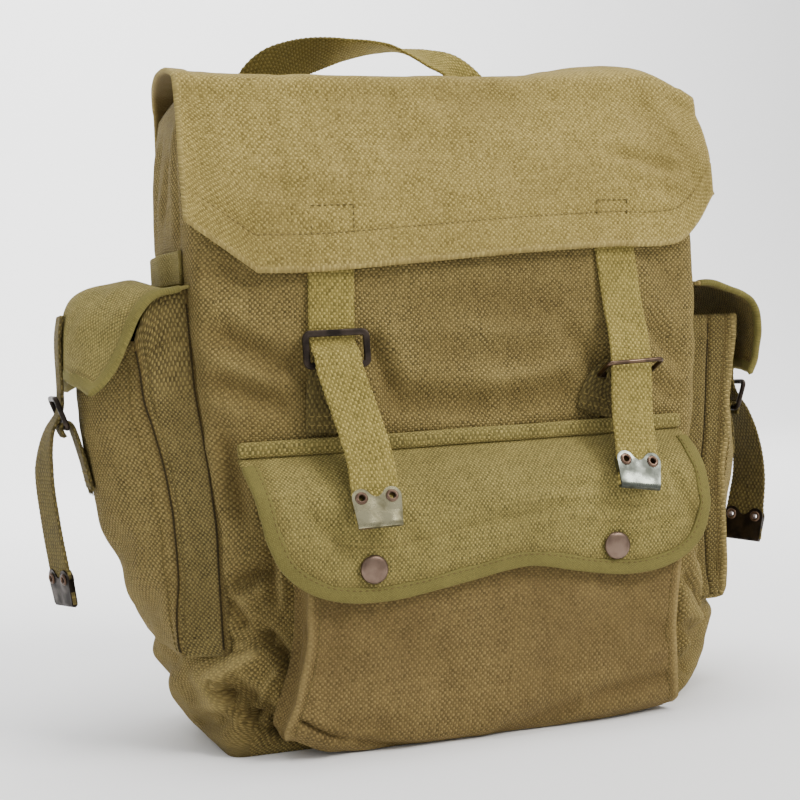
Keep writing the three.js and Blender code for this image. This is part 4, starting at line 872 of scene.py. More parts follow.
def make_sack():
    """Outer wall up to the mouth, over a rolled rim and down the inner wall, as one closed skin."""
    counts = (150, 58, 100, 58)
    outer_z = np.concatenate([np.linspace(0, 24, 16)[:-1], np.linspace(24, 120, 58)[:-1],
                              np.linspace(120, 350, 96)])
    inner_z = np.concatenate([[349.5], np.linspace(344, 2.6, 34)])
    outer = sack_rings(outer_z, 0, counts)
    inner = sack_rings(inner_z, CANVAS, counts)
    shrink = np.linspace(0.0, 1.0, 7)[1:-1][::-1]
    base = sack_rings(np.zeros(1), 0, counts)[0]
    floor_rows = [np.concatenate([base[:, :2] * (1 - s * 0.98), np.full((len(base), 1), 0.0)],
                                 -1) for s in shrink]
    outer_moved, hollow_out, ridge_highlight_out = sack_shape(outer)
    inner_moved, hollow_in, ridge_highlight_in = sack_shape(inner)
    lift = ease(outer[..., 2], 0, 14)[..., None]
    outer_moved = mix(outer, outer_moved, 0.25 + 0.75 * lift)
    outer_moved[..., 2] = np.maximum(outer_moved[..., 2], 0)
    grid = np.concatenate([np.stack(floor_rows), outer_moved, inner_moved])
    painted_shade = np.concatenate([np.zeros((len(floor_rows), grid.shape[1])), hollow_out, hollow_in])
    still = np.concatenate([np.stack(floor_rows), outer, inner])
    closed = np.concatenate([still, still[:, :1]], 1)
    across = lengths(closed, 1)
    down = lengths(closed, 0).mean(1)[:, None]
    flat = np.stack([across - across[:, 75:76], np.broadcast_to(down, across.shape)], -1)
    points, faces, uvs = loft(grid, flat)
    # worn on the sack is a painted highlight on its raised ridges, and painted shade darkens its creases
    worn = np.concatenate([np.zeros((len(floor_rows), grid.shape[1])), ridge_highlight_out, ridge_highlight_in])
    marks = {"painted_shade": np.append(painted_shade.ravel(), [0, 0]), "worn": np.append(worn.ravel(), [0, 0])}
    keep("sack_cloth", points, faces, uvs, sack_canvas, ["sack"], marks)


# Lid: its hem, the rise of its arch from left to right, and the arch from back to front over the mouth
LID_WIDTH, LID_RISE, LID_DROP, LID_SEAM = 298.0, 16.0, 90.0, 20.0
LID_HEM = {
    "u": [0, 0.1, 0.2, 0.4, 0.6, 0.8, 0.92, 0.96, 1],
    "across": [-0.995, -0.76, -0.54, -0.14, 0.22, 0.6, 0.88, 0.98, 1.06],
    "drop": [0.76, 1.065, 1.07, 1.035, 1.0, 0.975, 0.965, 0.85, 0.667],
}
LID_RIDGE = {"across": [-1, -0.7, -0.2, 0.25, 0.6, 0.86, 1], "rise": [1.02, 0.78, 0.62, 0.62, 0.9, 1.02, 0.7]}
LID_ARCH = {
    "w": [0, 0.1, 0.24, 0.45, 0.65, 0.82, 0.93, 1],
    "out": [0, 0.02, 0.12, 0.4, 0.7, 0.9, 0.98, 1],
    "rise": [0.1, 0.45, 0.9, 1, 0.85, 0.5, 0.15, -0.5],
}
LID_OFF = 1.3 + FLAP_CLOTH / 2
LID_MOUTH = SACK_HEIGHT + 3.3


def lid_hem(column, u):
    """The hem's place at u: straight from its left end to the corner at the second row, then the cubic."""
    keys, values = LID_HEM["u"], LID_HEM[column]
    rest = {"u": keys[1:], column: values[1:]}
    return np.where(u < keys[1], np.interp(u, keys[:2], values[:2]), cubic(rest, column, u))


def lid_back_y(x, z):
    """The middle of the lid's cloth where it lies on the sack's back."""
    return back_y(x, z) + SEAT_GAP + FLAP_CLOTH / 2


def lid_point(u, v):
    """The lid's middle surface. v runs up the back, over the mouth along its arch and down the front."""
    u, v = np.broadcast_arrays(np.asarray(u, float), np.asarray(v, float))
    back, top = 0.08, 0.5
    ahead = ease(v, back, top * 0.7)
    x = mix(mix(-0.935, -0.985, ahead), mix(0.96, 1.015, ahead), u) * LID_WIDTH / 2
    z1 = mix(SACK_HEIGHT - LID_SEAM, LID_MOUTH + 0.1 * LID_RISE, v / back)
    first = np.stack([x, lid_back_y(x, z1), z1], -1)
    w = np.clip((v - back) / (top - back), 0, 1)
    out, rise = cubic(LID_ARCH, "out", w), cubic(LID_ARCH, "rise", w)
    ridge = np.where(rise > 0.1, cubic(LID_RIDGE, "rise", 2 * x / LID_WIDTH), 1)
    start_z = LID_MOUTH - LID_RISE / 2
    y2 = mix(lid_back_y(x, SACK_HEIGHT), front_y(x, start_z) - LID_OFF, out)
    second = np.stack([x, y2, LID_MOUTH + ((rise - 0.1) * ridge + 0.1) * LID_RISE], -1)
    w = np.clip((v - top) / (1 - top), 0, 1)
    hem_z = SACK_HEIGHT - lid_hem("drop", u) * LID_DROP
    z3 = mix(start_z, hem_z, w)
    x3 = mix(x, lid_hem("across", u) * LID_WIDTH / 2, w * (2 - w))
    third = np.stack([x3, front_y(x3, z3) - LID_OFF - 3.2 * w, z3], -1)
    shape = np.where((v < back)[..., None], first, np.where((v < top)[..., None], second, third))
    held = ease(v, back, 0.2) * (1 - ease(v, top, 1))
    shape[..., 2] += 5 * bell(u - 0.86, 0.13) * held * (1 - ease(v, 0.3, top))
    fall = 34 * ease(u, 0.925, 1.045) ** 1.2
    shape[..., 2] -= fall * held * mix(1, 0.4, ease(v, 0.3, top))
    shape[..., 0] += 5 * ease(u, 0.94, 1) * held
    return shape


LID_FOLDS = [
    ((90, -66, 316), (146, -66, 302), 1, 4, 0.5, 0.6),
    ((96, -66, 300), (142, -66, 286), 0.9, 4, 0.5, 0.5),
    ((130, -62, 336), (148, -66, 298), 0.9, 4, 0.5, 0.5),
    ((-118, -66, 300), (-60, -68, 288), 1.2, 6, 0.6, 0.6),
    ((-40, -68, 330), (40, -68, 300), 1, 12, 0.6, 0.6),
    ((-100, -64, 352), (-96, -66, 290), 0.9, 5, 0.5, 0.5),
    ((-70, -64, 350), (-60, -68, 300), 0.6, 6, 0.4, 0.4),
    ((-139, -60, 352), (-140, -68, 292), 1.2, 6, 0.8, 0.6),
    ((118, -60, 350), (132, -66, 300), 1.4, 8, 1, 0.8),
    ((104, -64, 318), (138, -66, 288), 1.2, 8, 0.8, 0.6),
    ((-20, -60, 352), (60, -66, 340), 0.8, 14, 0.4, 0.4),
    ((-120, -30, 366), (-60, -20, 364), 1.2, 12, 0.6, 0.6),
    ((60, -20, 366), (128, -30, 368), 1.2, 12, 0.6, 0.6),
]


def make_lid():
    """The lid's cloth, thicker in its hems, with slow waves and faint creases."""
    u = np.linspace(0, 1, 161)
    v = np.concatenate([np.linspace(0, 0.08, 9)[:-1], np.linspace(0.08, 0.5, 70)[:-1],
                        np.linspace(0.5, 1, 66)])
    grid = lid_point(u[None, :], v[:, None])
    flat = flat_places(grid)
    normal = normals_of(grid)
    normal *= np.sign(np.sum(normal[100, 80] * np.array([0, -1.0, 0])))
    fold, painted_shade = folds(grid, normal, LID_FOLDS)
    slack = 1.1 * rumple(grid, (60, 60, 34), 12) + 0.5 * rumple(grid, 18, 13) + 0.3 * rumple(grid, 8, 14)
    free = ease(v, 0.1, 0.25)[:, None] * (1 - 0.5 * ease(v, 0.93, 1.0))[:, None]
    grid = grid + normal * ((fold + slack) * free)[..., None]
    from_hem = lengths(grid[::-1], 0)[::-1]
    from_side = np.minimum(lengths(grid, 1), lengths(grid[:, ::-1], 1)[:, ::-1])
    hem = np.maximum(1 - ease(from_hem, 17, 19.5), (1 - ease(from_side, 9, 11)) * ease(v, 0.08, 0.12)[:,
                                                                                                      None])
    groove = bell(from_hem - 18, 0.9)
    grid = grid + normal * (hem * 0.35 - groove * 0.45)[..., None]
    points, faces, uvs = cloth_sheet(grid, flat, FLAP_CLOTH + 0.9 * hem, normal)
    edge = bell(from_hem, 1.6) + bell(from_side, 1.4)
    worn = on_sheet(np.clip(edge, 0, 1) * 0.3)
    # painted shade: the lid's underside is darker, most under its back and top, and the hem's stitch groove
    # is darker too
    under = np.broadcast_to(1.8 - 1.2 * ease(v, 0.5, 0.65)[:, None], painted_shade.shape)
    piece = keep("lid_cloth", points, faces, uvs, lid_canvas, ["lid"],
                 {"painted_shade": np.concatenate([on_sheet(painted_shade + 0.5 * groove)[:-painted_shade.size], under.ravel()]),
                  "worn": worn})
    row = np.array([np.interp(18.0, from_hem[::-1, j], np.arange(len(v))[::-1]) for j in range(len(u))])
    line = np.stack([np.stack([np.interp(r, np.arange(len(v)), grid[:, j, k]) for k in range(3)])
                     for j, r in enumerate(row)])[4:-6]
    facing = normal[-14, 4:-6]
    lines = [stitch_line(line + facing * (FLAP_CLOTH / 2 + 0.2), facing)]
    lines += lid_boxes()
    sew("lid_stitches", lines, dark_thread)


def lid_front(x, z, out=0.0):
    """A place on the lid's front face at (x, z), and the direction out of it."""
    x, z = np.asarray(x, float), np.asarray(z, float)
    w = np.clip((LID_MOUTH - LID_RISE / 2 - z) / LID_DROP, 0, 1)
    y = front_y(x, z) - LID_OFF - 3.2 * w - FLAP_CLOTH / 2 - out
    return np.stack([x, y, z], -1)


def lid_boxes():
    """The stitched boxes that hold the straps under the lid: three sides of each show."""
    lines = []
    for x0, x1, z0, z1 in ((-84, -60, 271, 287), (81, 101, 279, 287)):
        for (ax, az), (bx, bz) in (((x0, z0), (x0 + 1, z1)), ((x0 + 1, z1), (x1, z1)),
                                   ((x1, z1), (x1 - 1, z0))):
            t = np.linspace(0, 1, 20)
            path = lid_front(mix(ax, bx, t), mix(az, bz, t), 0.9)
            lines.append(stitch_line(path, np.broadcast_to([0.0, -1.0, 0.15], path.shape)))
    return lines


# Front pocket and its flap
POCKET_WIDTH, POCKET_DEPTH, POCKET_HEIGHT, POCKET_FLOOR = 256.0, 26.0, 128.0, 6.0
POCKET = {
    "height": [0, 0.035, 0.14, 0.37, 0.61, 0.86, 1],
    "half": [0.86, 0.87, 0.86, 0.85, 0.89, 0.94, 0.96],
    "left": [0.9, 0.915, 0.89, 0.825, 0.8, 0.83, 0.86],
    "front": [0.55, 0.8, 0.95, 1.05, 1.03, 0.85, 0.7],
}
POCKET_FOLDS = [
    ((-111, -94, 20), (-84, -96, 12), 4.5, 2.2, 1, 1.2),
    ((-84, -96, 12), (-40, -96, 4), 4.2, 2.2, 0.8, 1.2),
    ((-40, -96, 4), (11, -95, 2), 2.5, 2, 0.6, 0.8),
    ((-6, -94, 6), (50, -92, 18), 3.4, 6, 1, 2),
    ((50, -92, 18), (106, -90, 24), 3, 5, 1, 2),
    ((70, -92, 66), (104, -90, 40), 2, 7, 1, 1),
    ((-70, -94, 70), (-20, -94, 34), 1.6, 10, 0.8, 0.8),
    ((20, -94, 24), (70, -92, 66), 1.6, 10, 0.8, 0.8),
    ((-96, -94, 96), (-40, -94, 60), 1.2, 14, 0.6, 0.6),
    ((-96, -90, 22), (-60, -94, 14), 1.6, 6, 0.8, 0.6),
    ((84, -92, 30), (108, -88, 33), 1.8, 3.2, 0.8, 0.8),
    ((-92, -92, 50), (-84, -94, 88), 1.2, 6, 0.8, 0.5),
    ((60, -92, 100), (100, -90, 60), 1.2, 12, 0.6, 0.6),
]


def pocket_at(z, column):
    """A column of the pocket's table at a height in mm."""
    return cubic(POCKET, column, np.clip((np.asarray(z, float) - POCKET_FLOOR) / POCKET_HEIGHT, 0, 1))


def make_front_pocket():
    """One sheet: from the sack round the left gusset, across the front and round the right gusset, and
    below its floor it turns in to the sack."""
    z = np.concatenate([np.linspace(POCKET_HEIGHT + POCKET_FLOOR, 30, 52)[:-1],
                        np.linspace(30, POCKET_FLOOR, 18)])
    half = pocket_at(z, "half") * POCKET_WIDTH / 2 - 1
    left = pocket_at(z, "left") * POCKET_WIDTH / 2 - 1
    front = -SACK_DEPTH / 2 - pocket_at(z, "front") * POCKET_DEPTH + 1
    corners = np.stack([np.stack([-left, front], -1), np.stack([half, front], -1)], 1)
    t = np.linspace(0, 1, 151)
    face = mix(corners[:, 0, None], corners[:, 1, None], t[None, :, None])
    face[..., 1] -= 0.16 * POCKET_DEPTH * 4 * t * (1 - t)
    turn = np.linspace(0, 1, 24)
    seat_l = front_y(-0.97 * left, z) + 0.6
    seat_r = front_y(0.97 * half, z) + 0.6
    slope_l = np.stack([-left, seat_l], -1)
    slope_r = np.stack([half * 0.985, seat_r], -1)

    def gusset(seam, seat, side):
        k = turn[None, :, None]
        inward = np.zeros(seam.shape)
        inward[..., 0] = -side * 3.2
        return mix(seat[:, None], seam[:, None], k) + inward[:, None] * (4 * k * (1 - k)) * 0.8

    west = gusset(corners[:, 0], slope_l, -1)[:, :-1]
    east = gusset(corners[:, 1], slope_r, 1)[:, ::-1][:, 1:]
    ring = np.concatenate([west, face, east], 1)
    grid = np.concatenate([ring, np.broadcast_to(z[:, None, None], ring.shape[:2] + (1,))], -1)
    still = grid.copy()
    outward = np.broadcast_to([0.0, -1.0, 0.0], grid.shape)
    fold, painted_shade = folds(grid, outward, POCKET_FOLDS)
    slack = 1.2 * rumple(grid, 38, 21) + 0.8 * rumple(grid, 17, 22) + 0.25 * rumple(grid, 8, 23)
    crown = np.zeros(grid.shape[1])
    crown[len(west[0]):-len(east[0])] = ease(1 - np.abs(2 * t - 1), 0.0, 0.08)
    shift = (fold + slack) * crown
    column = np.arange(grid.shape[1])
    first, second = len(turn) - 1, len(column) - len(turn)
    shift += 1.1 * (bell(column - first, 1.6) + bell(column - second, 1.6))
    grid = grid + outward * shift[..., None]
    across = 2 * grid[..., 0] / POCKET_WIDTH
    height = (grid[..., 2] - POCKET_FLOOR) / POCKET_HEIGHT
    sag = 5.0 * np.clip(1 - across ** 2, 0, 1) * np.clip(1 - height * 3, 0, 1) * ease(-grid[..., 1], 70, 84)
    grid[..., 2] += 8.0 * ease(-across, 0.7, 0.9) * np.clip(1 - height * 3, 0, 1) - sag
    to_floor = len(z) - np.arange(len(z))[:, None]
    dent = (1.2 + 1.6 * rumple(grid, (9, 9, 15), 25)) * ease(-grid[..., 1], 68, 74) * ease(to_floor, 0, 6)
    grid[..., 0] -= np.sign(grid[..., 0]) * (1 - crown) * dent
    last = grid[-1]
    inner_x = last[:, 0] * 0.97
    inner_y = np.minimum(front_y(inner_x, 9.0) + 0.4, -58)
    inner = np.stack([inner_x, inner_y, np.full(len(last), 7.5)], -1)
    inner[:, 1] = np.maximum(inner[:, 1], last[:, 1])
    k = np.array([0.06, 0.16, 0.32, 0.55, 0.8, 1.0])[:, None, None]
    under = mix(last[None], inner[None], k)
    under[..., 2] -= 0.6 * np.sin(math.pi * k[..., 0])
    under[..., 2] = np.maximum(under[..., 2], 1.0)
    grid = np.concatenate([grid, under])
    painted_shade = np.concatenate([painted_shade * crown, np.zeros(under.shape[:2])])
    flat = flat_places(np.concatenate([still, under]))
    from_hem = flat[..., 1]
    hem = 1 - ease(from_hem, 15, 17)
    normal = normals_of(grid)
    normal *= -np.sign(normal[20, 90, 1])
    bottom = bell(flat[..., 1] - flat[len(z) - 1, :, 1], 1.2) * crown
    grid = grid + normal * (0.8 * bottom)[..., None]
    grid[..., 2] = np.maximum(grid[..., 2], 1.6)
    points, faces, uvs = cloth_sheet(grid, flat, CANVAS + 0.6 * hem, normal)
    seam = bell(column - first, 1.5) + bell(column - second, 1.5)
    worn = np.broadcast_to(np.clip(seam, 0, 1), grid.shape[:2]) * 0.5 + bottom * 0.3
    # painted shade in the creases of the pocket's folds
    keep("front_pocket_cloth", points, faces, uvs, pocket_canvas, ["front_pocket"],
                 {"painted_shade": on_sheet(painted_shade), "worn": on_sheet(np.clip(worn, 0, 1))})
    lines = []
    for column in (27, grid.shape[1] - 28):
        path = grid[3:len(z) - 2, column] + normal[3:len(z) - 2, column] * (CANVAS / 2 + 0.1)
        lines.append(stitch_line(path, normal[3:len(z) - 2, column]))
    path = grid[8, 26:-26] + normal[8, 26:-26] * (CANVAS / 2 + 0.2)
    lines.append(stitch_line(path, normal[8, 26:-26]))
    sew("front_pocket_stitches", lines, dark_thread)


FLAP_WIDTH, FLAP_DROP, FLAP_TOP = 255.0, 73.5, POCKET_FLOOR + POCKET_HEIGHT + 22.0
FLAP_HEM = {
    "u": [0, 0.06, 0.12, 0.2, 0.3, 0.45, 0.57, 0.7, 0.8, 0.88, 0.94, 1],
    "across": [-0.955, -0.9, -0.79, -0.65, -0.45, -0.12, 0.14, 0.44, 0.64, 0.82, 0.945, 1.0],
    "drop": [0.52, 0.75, 0.91, 0.99, 1.005, 0.92, 0.86, 0.96, 0.995, 0.94, 0.79, 0.55],
}
FLAP_FOLDS = [
    ((10, -100, 134), (96, -100, 126), 1.6, 4, 0.8, 0.6),
    ((20, -100, 124), (110, -100, 118), 1.4, 3.5, 0.6, 0.8),
    ((-30, -100, 114), (40, -100, 122), 1.2, 4, 0.6, 0.6),
    ((-104, -100, 130), (-76, -100, 106), 1.8, 5, 0.8, 0.8),
    ((-60, -100, 128), (-40, -100, 104), 1.2, 5, 0.6, 0.6),
    ((70, -100, 100), (108, -100, 112), 1.4, 4, 0.6, 0.6),
    ((104, -100, 138), (118, -100, 104), 1.6, 5, 0.8, 0.4),
]
FLAP_STAND = {"v": [0, 0.1, 0.25, 0.42, 0.7, 1.05], "out": [0, 0.42, 0.83, 1, 1.04, 1]}
FLAP_REACH = POCKET_DEPTH * 1.05 + FLAP_CLOTH / 2 + 7


def flap_y(x, z):
    """The front flap's depth at (x, z): from its seam on the sack out to its reach, down its own curve."""
    far = -SACK_DEPTH / 2 - FLAP_REACH + FLAP_REACH * 0.12 * np.abs(x / (FLAP_WIDTH / 2)) ** 4
    out = cubic(FLAP_STAND, "out", (FLAP_TOP - z) / FLAP_DROP)
    return mix(front_y(x, FLAP_TOP) - SEAT_GAP - FLAP_CLOTH / 2, far, out)


def flap_point(u, v):
    """The front flap's middle surface: straight lines from its seam to its hem, standing out by flap_y."""
    u, v = np.broadcast_arrays(np.asarray(u, float), np.asarray(v, float))
    x = mix(mix(-1, 1, u) * FLAP_WIDTH / 2, cubic(FLAP_HEM, "across", u) * FLAP_WIDTH / 2, v)
    z = FLAP_TOP - cubic(FLAP_HEM, "drop", u) * FLAP_DROP * v
    shape = np.stack([x, flap_y(x, z), z], -1)
    wave = (0.7 * rumple(shape * [1, 0, 1], (44, 44, 26), 31) + 0.3 * rumple(shape * [1, 0, 1], 17,
                                                                             32)) * ease(v, 0.08, 0.3)
    pull = (bell(np.hypot(x - 68, (z - 104) * 0.9), 15) + bell(np.hypot(x + 68, (z - 104) * 0.9), 15)) * 1.6
    level = shape.copy()
    level[..., 1] = -100
    fold, _ = folds(level, np.broadcast_to([0.0, -1.0, 0.0], level.shape), FLAP_FOLDS)
    shape[..., 1] += -wave - fold * ease(v, 0.05, 0.2) + pull * ease(v, 0.1, 0.4)
    return shape


def make_front_flap():
    """The flap's cloth, the tape round its edge, and a line of stitching across it."""
    u, v = np.linspace(0, 1, 201), np.linspace(0, 1, 75)
    grid = flap_point(u[None], v[:, None])
    normal = normals_of(grid)
    normal *= -np.sign(normal[40, 100, 1])
    flat = np.stack([grid[..., 0], lengths(grid, 0)], -1)
    points, faces, uvs = cloth_sheet(grid, flat, FLAP_CLOTH, normal)
    from_edge = flap_edge(grid)
    # painted shade along the inside of the tape's edge, and a faint darker line 27 mm in from the edge
    faint = bell(from_edge - 27, 0.8)
    piece = keep("front_flap_cloth", points, faces, uvs, flap_canvas, ["front_flap"],
                 {"painted_shade": on_sheet(0.48 * bell(from_edge - 8.5, 2.2) + 0.5 * faint)})
    bind_edge(grid)
    path = flap_point(np.linspace(0.1, 0.95, 120), 0.63)
    facing = np.broadcast_to([0.0, -1.0, 0.1], path.shape)
    sew("front_flap_seam", [stitch_line(path + facing * (FLAP_CLOTH / 2 - 0.1), facing, thread=0.3)], thread)


def flap_border():
    """Places (u, v) down the flap's left side, along its hem and up its right side."""
    side = np.linspace(0.12, 0.985, 60)
    hem = np.linspace(0, 1, 260)
    u = np.concatenate([np.zeros(60), hem, np.ones(60)])
    v = np.concatenate([side, np.ones(260), side[::-1]])
    return u, v


def flap_edge(grid):
    """Each grid point's distance from the bound edge."""
    u, v = flap_border()
    border = flap_point(u, v)[::6]
    flat = grid.reshape(-1, 3)
    distance = np.min(np.linalg.norm(flat[:, None] - border[None], axis=-1), 1)
    return distance.reshape(grid.shape[:2])


def bind_edge(grid):
    """The tape: a U section with a round fold, carried along the smoothed edge and sewn near its inner
    border."""
    u, v = flap_border()
    edge = flap_point(u, v)
    step = 1e-3
    du = flap_point(np.clip(u + step, 0, 1), v) - flap_point(np.clip(u - step, 0, 1), v)
    dv = flap_point(u, np.clip(v, 0, 1)) - flap_point(u, v - step)
    facing = unit(np.cross(dv, du))
    facing *= -np.sign(facing[200, 1])
    for _ in range(14):
        edge[1:-1] = (edge[:-2] + 2 * edge[1:-1] + edge[2:]) / 4
        facing[1:-1] = unit(facing[:-2] + 2 * facing[1:-1] + facing[2:])
    along = unit(np.gradient(edge, axis=0))
    inward = unit(np.cross(facing, along))
    centre = grid[30, 100]
    inward *= np.sign(np.sum(inward * (centre - edge), -1))[:, None]
    near, far = FLAP_CLOTH / 2 + 0.15, FLAP_CLOTH / 2 + 0.95
    arc = np.linspace(-math.pi / 2, math.pi / 2, 7)
    outer = [(6.5, -far + 0.25), (5.5, -far), (3.5, -far - 0.15), (1.5, -far - 0.05)]
    outer += [(-0.3 - 1.1 * math.cos(a), math.sin(a) * far) for a in arc]
    outer += [(1.5, far + 0.05), (3.5, far + 0.15), (5.5, far), (6.5, far - 0.25)]
    inner = [(6.6, near), (3.0, near), (0.2, near), (0.2, -near), (3.0, -near), (6.6, -near)]
    section = np.array(outer + inner)
    width = 1 + 0.05 * np.sin(np.arange(len(edge)) * 0.23)
    rings = (edge[:, None] + inward[:, None] * (section[:, 0] * width[:, None])[..., None]
             + facing[:, None] * section[:, 1][None, :, None])
    run = lengths(edge, 0)
    loop = np.vstack([section, section[:1]])
    round_it = lengths(loop, 0)
    flat = np.stack(np.broadcast_arrays(round_it[None], run[:, None]), -1)
    points, faces, uvs = loft(rings, flat)
    keep("front_flap_tape", points, faces, uvs, green_tape, ["front_flap_binding"])
    lines = [stitch_line(edge + inward * 5.2 + facing * (far - 0.1) * side, facing * side, pitch=3.4,
                         length=2.7)
             for side in (1, -1)]
    sew("front_flap_tape_stitches", lines, dark_thread)


def make_welt():
    """The rolled seam above the flap: a flattened tube whose section is a rounded block."""
    x = np.linspace(-FLAP_WIDTH / 2 - 0.8, FLAP_WIDTH / 2 + 0.8, 230)
    z = FLAP_TOP + GAP + 0.5 + 4.3
    turn = circle(16)
    section = np.stack([signed_power(np.cos(turn), 0.7) * 2.0, signed_power(np.sin(turn), 0.7) * 4.3], -1)
    centre = np.stack([x, front_y(x, z) - GAP - SEAT_GAP - 2.0, np.full(len(x), z)], -1)
    rise = 0.4 * rumple(centre, 30, 41)
    full = np.clip(np.minimum(np.arange(len(x)), np.arange(len(x))[::-1]) / 2.0, 0, 1) * 0.25 + 0.75
    rings = centre[:, None] + np.stack([np.zeros((len(x), 16)), -section[None, :, 0] * full[:, None],
                                        section[None, :, 1] * full[:, None] + rise[:, None]], -1)
    run = lengths(centre, 0)
    flat = np.stack(np.broadcast_arrays((np.arange(17) * 1.25)[None], run[:, None]), -1)
    points, faces, uvs = loft(rings, flat)
    keep("front_flap_welt_cloth", points, faces, uvs, flap_canvas, ["front_flap_welt"])


# Side pockets and their flaps
SIDE_REACH, SIDE_LENGTH, SIDE_HEIGHT, SIDE_FLOOR = 62.0, 100.0, 165.0, 55.0
SIDE_POCKET = {
    "left": {"height": [0, 0.03, 0.175, 0.375, 0.55, 0.75, 0.91, 1],
             "corner": [0.27, 0.3, 0.29, 0.29, 0.34, 0.44, 0.51, 0.55],
             "swell": [0.04, 0.08, 0.25, 0.41, 0.47, 0.46, 0.37, 0.3]},
    "right": {"height": [0, 0.03, 0.175, 0.375, 0.55, 0.75, 0.91, 1],
              "corner": [0.44, 0.48, 0.5, 0.52, 0.55, 0.57, 0.585, 0.59],
              "swell": [0.06, 0.09, 0.14, 0.24, 0.27, 0.16, 0.08, 0.05]},
}
SIDE_FLAP_LENGTH, SIDE_FLAP_REACH, SIDE_FLAP_DROP = 116.0, 63.0, 60.0
SIDE_FLAP_TOP = {"left": 248.0, "right": 239.0}
SIDE_FLAP = {
    "left": {"v": [0, 0.12, 0.28, 0.46, 0.62, 0.76, 0.88, 1],
             "edge_out": [0, 0.13, 0.27, 0.4, 0.51, 0.62, 0.74, 0.85],
             "edge_down": [0, 0.03, 0.08, 0.23, 0.45, 0.66, 0.8, 0.88],
             "mid_out": [0, 0.12, 0.32, 0.58, 0.78, 0.86, 0.885, 0.885],
             "mid_down": [0, -0.01, -0.11, -0.06, 0.05, 0.22, 0.46, 0.74]},
    "right": {"v": [0, 0.14, 0.3, 0.46, 0.6, 0.76, 0.88, 1],
              "edge_out": [0, 0.12, 0.29, 0.48, 0.61, 0.66, 0.62, 0.53],
              "edge_down": [0, -0.01, 0.03, 0.1, 0.2, 0.45, 0.7, 0.89],
              "mid_out": [0, 0.11, 0.28, 0.47, 0.62, 0.71, 0.72, 0.7],
              "mid_down": [0, -0.01, -0.06, -0.04, 0.06, 0.27, 0.54, 0.82]},
}


def side_at(name, z, column):
    """A column of a side pocket's table at a height in mm."""
    return cubic(SIDE_POCKET[name], column, np.clip((np.asarray(z, float) - SIDE_FLOOR) / SIDE_HEIGHT, 0, 1))


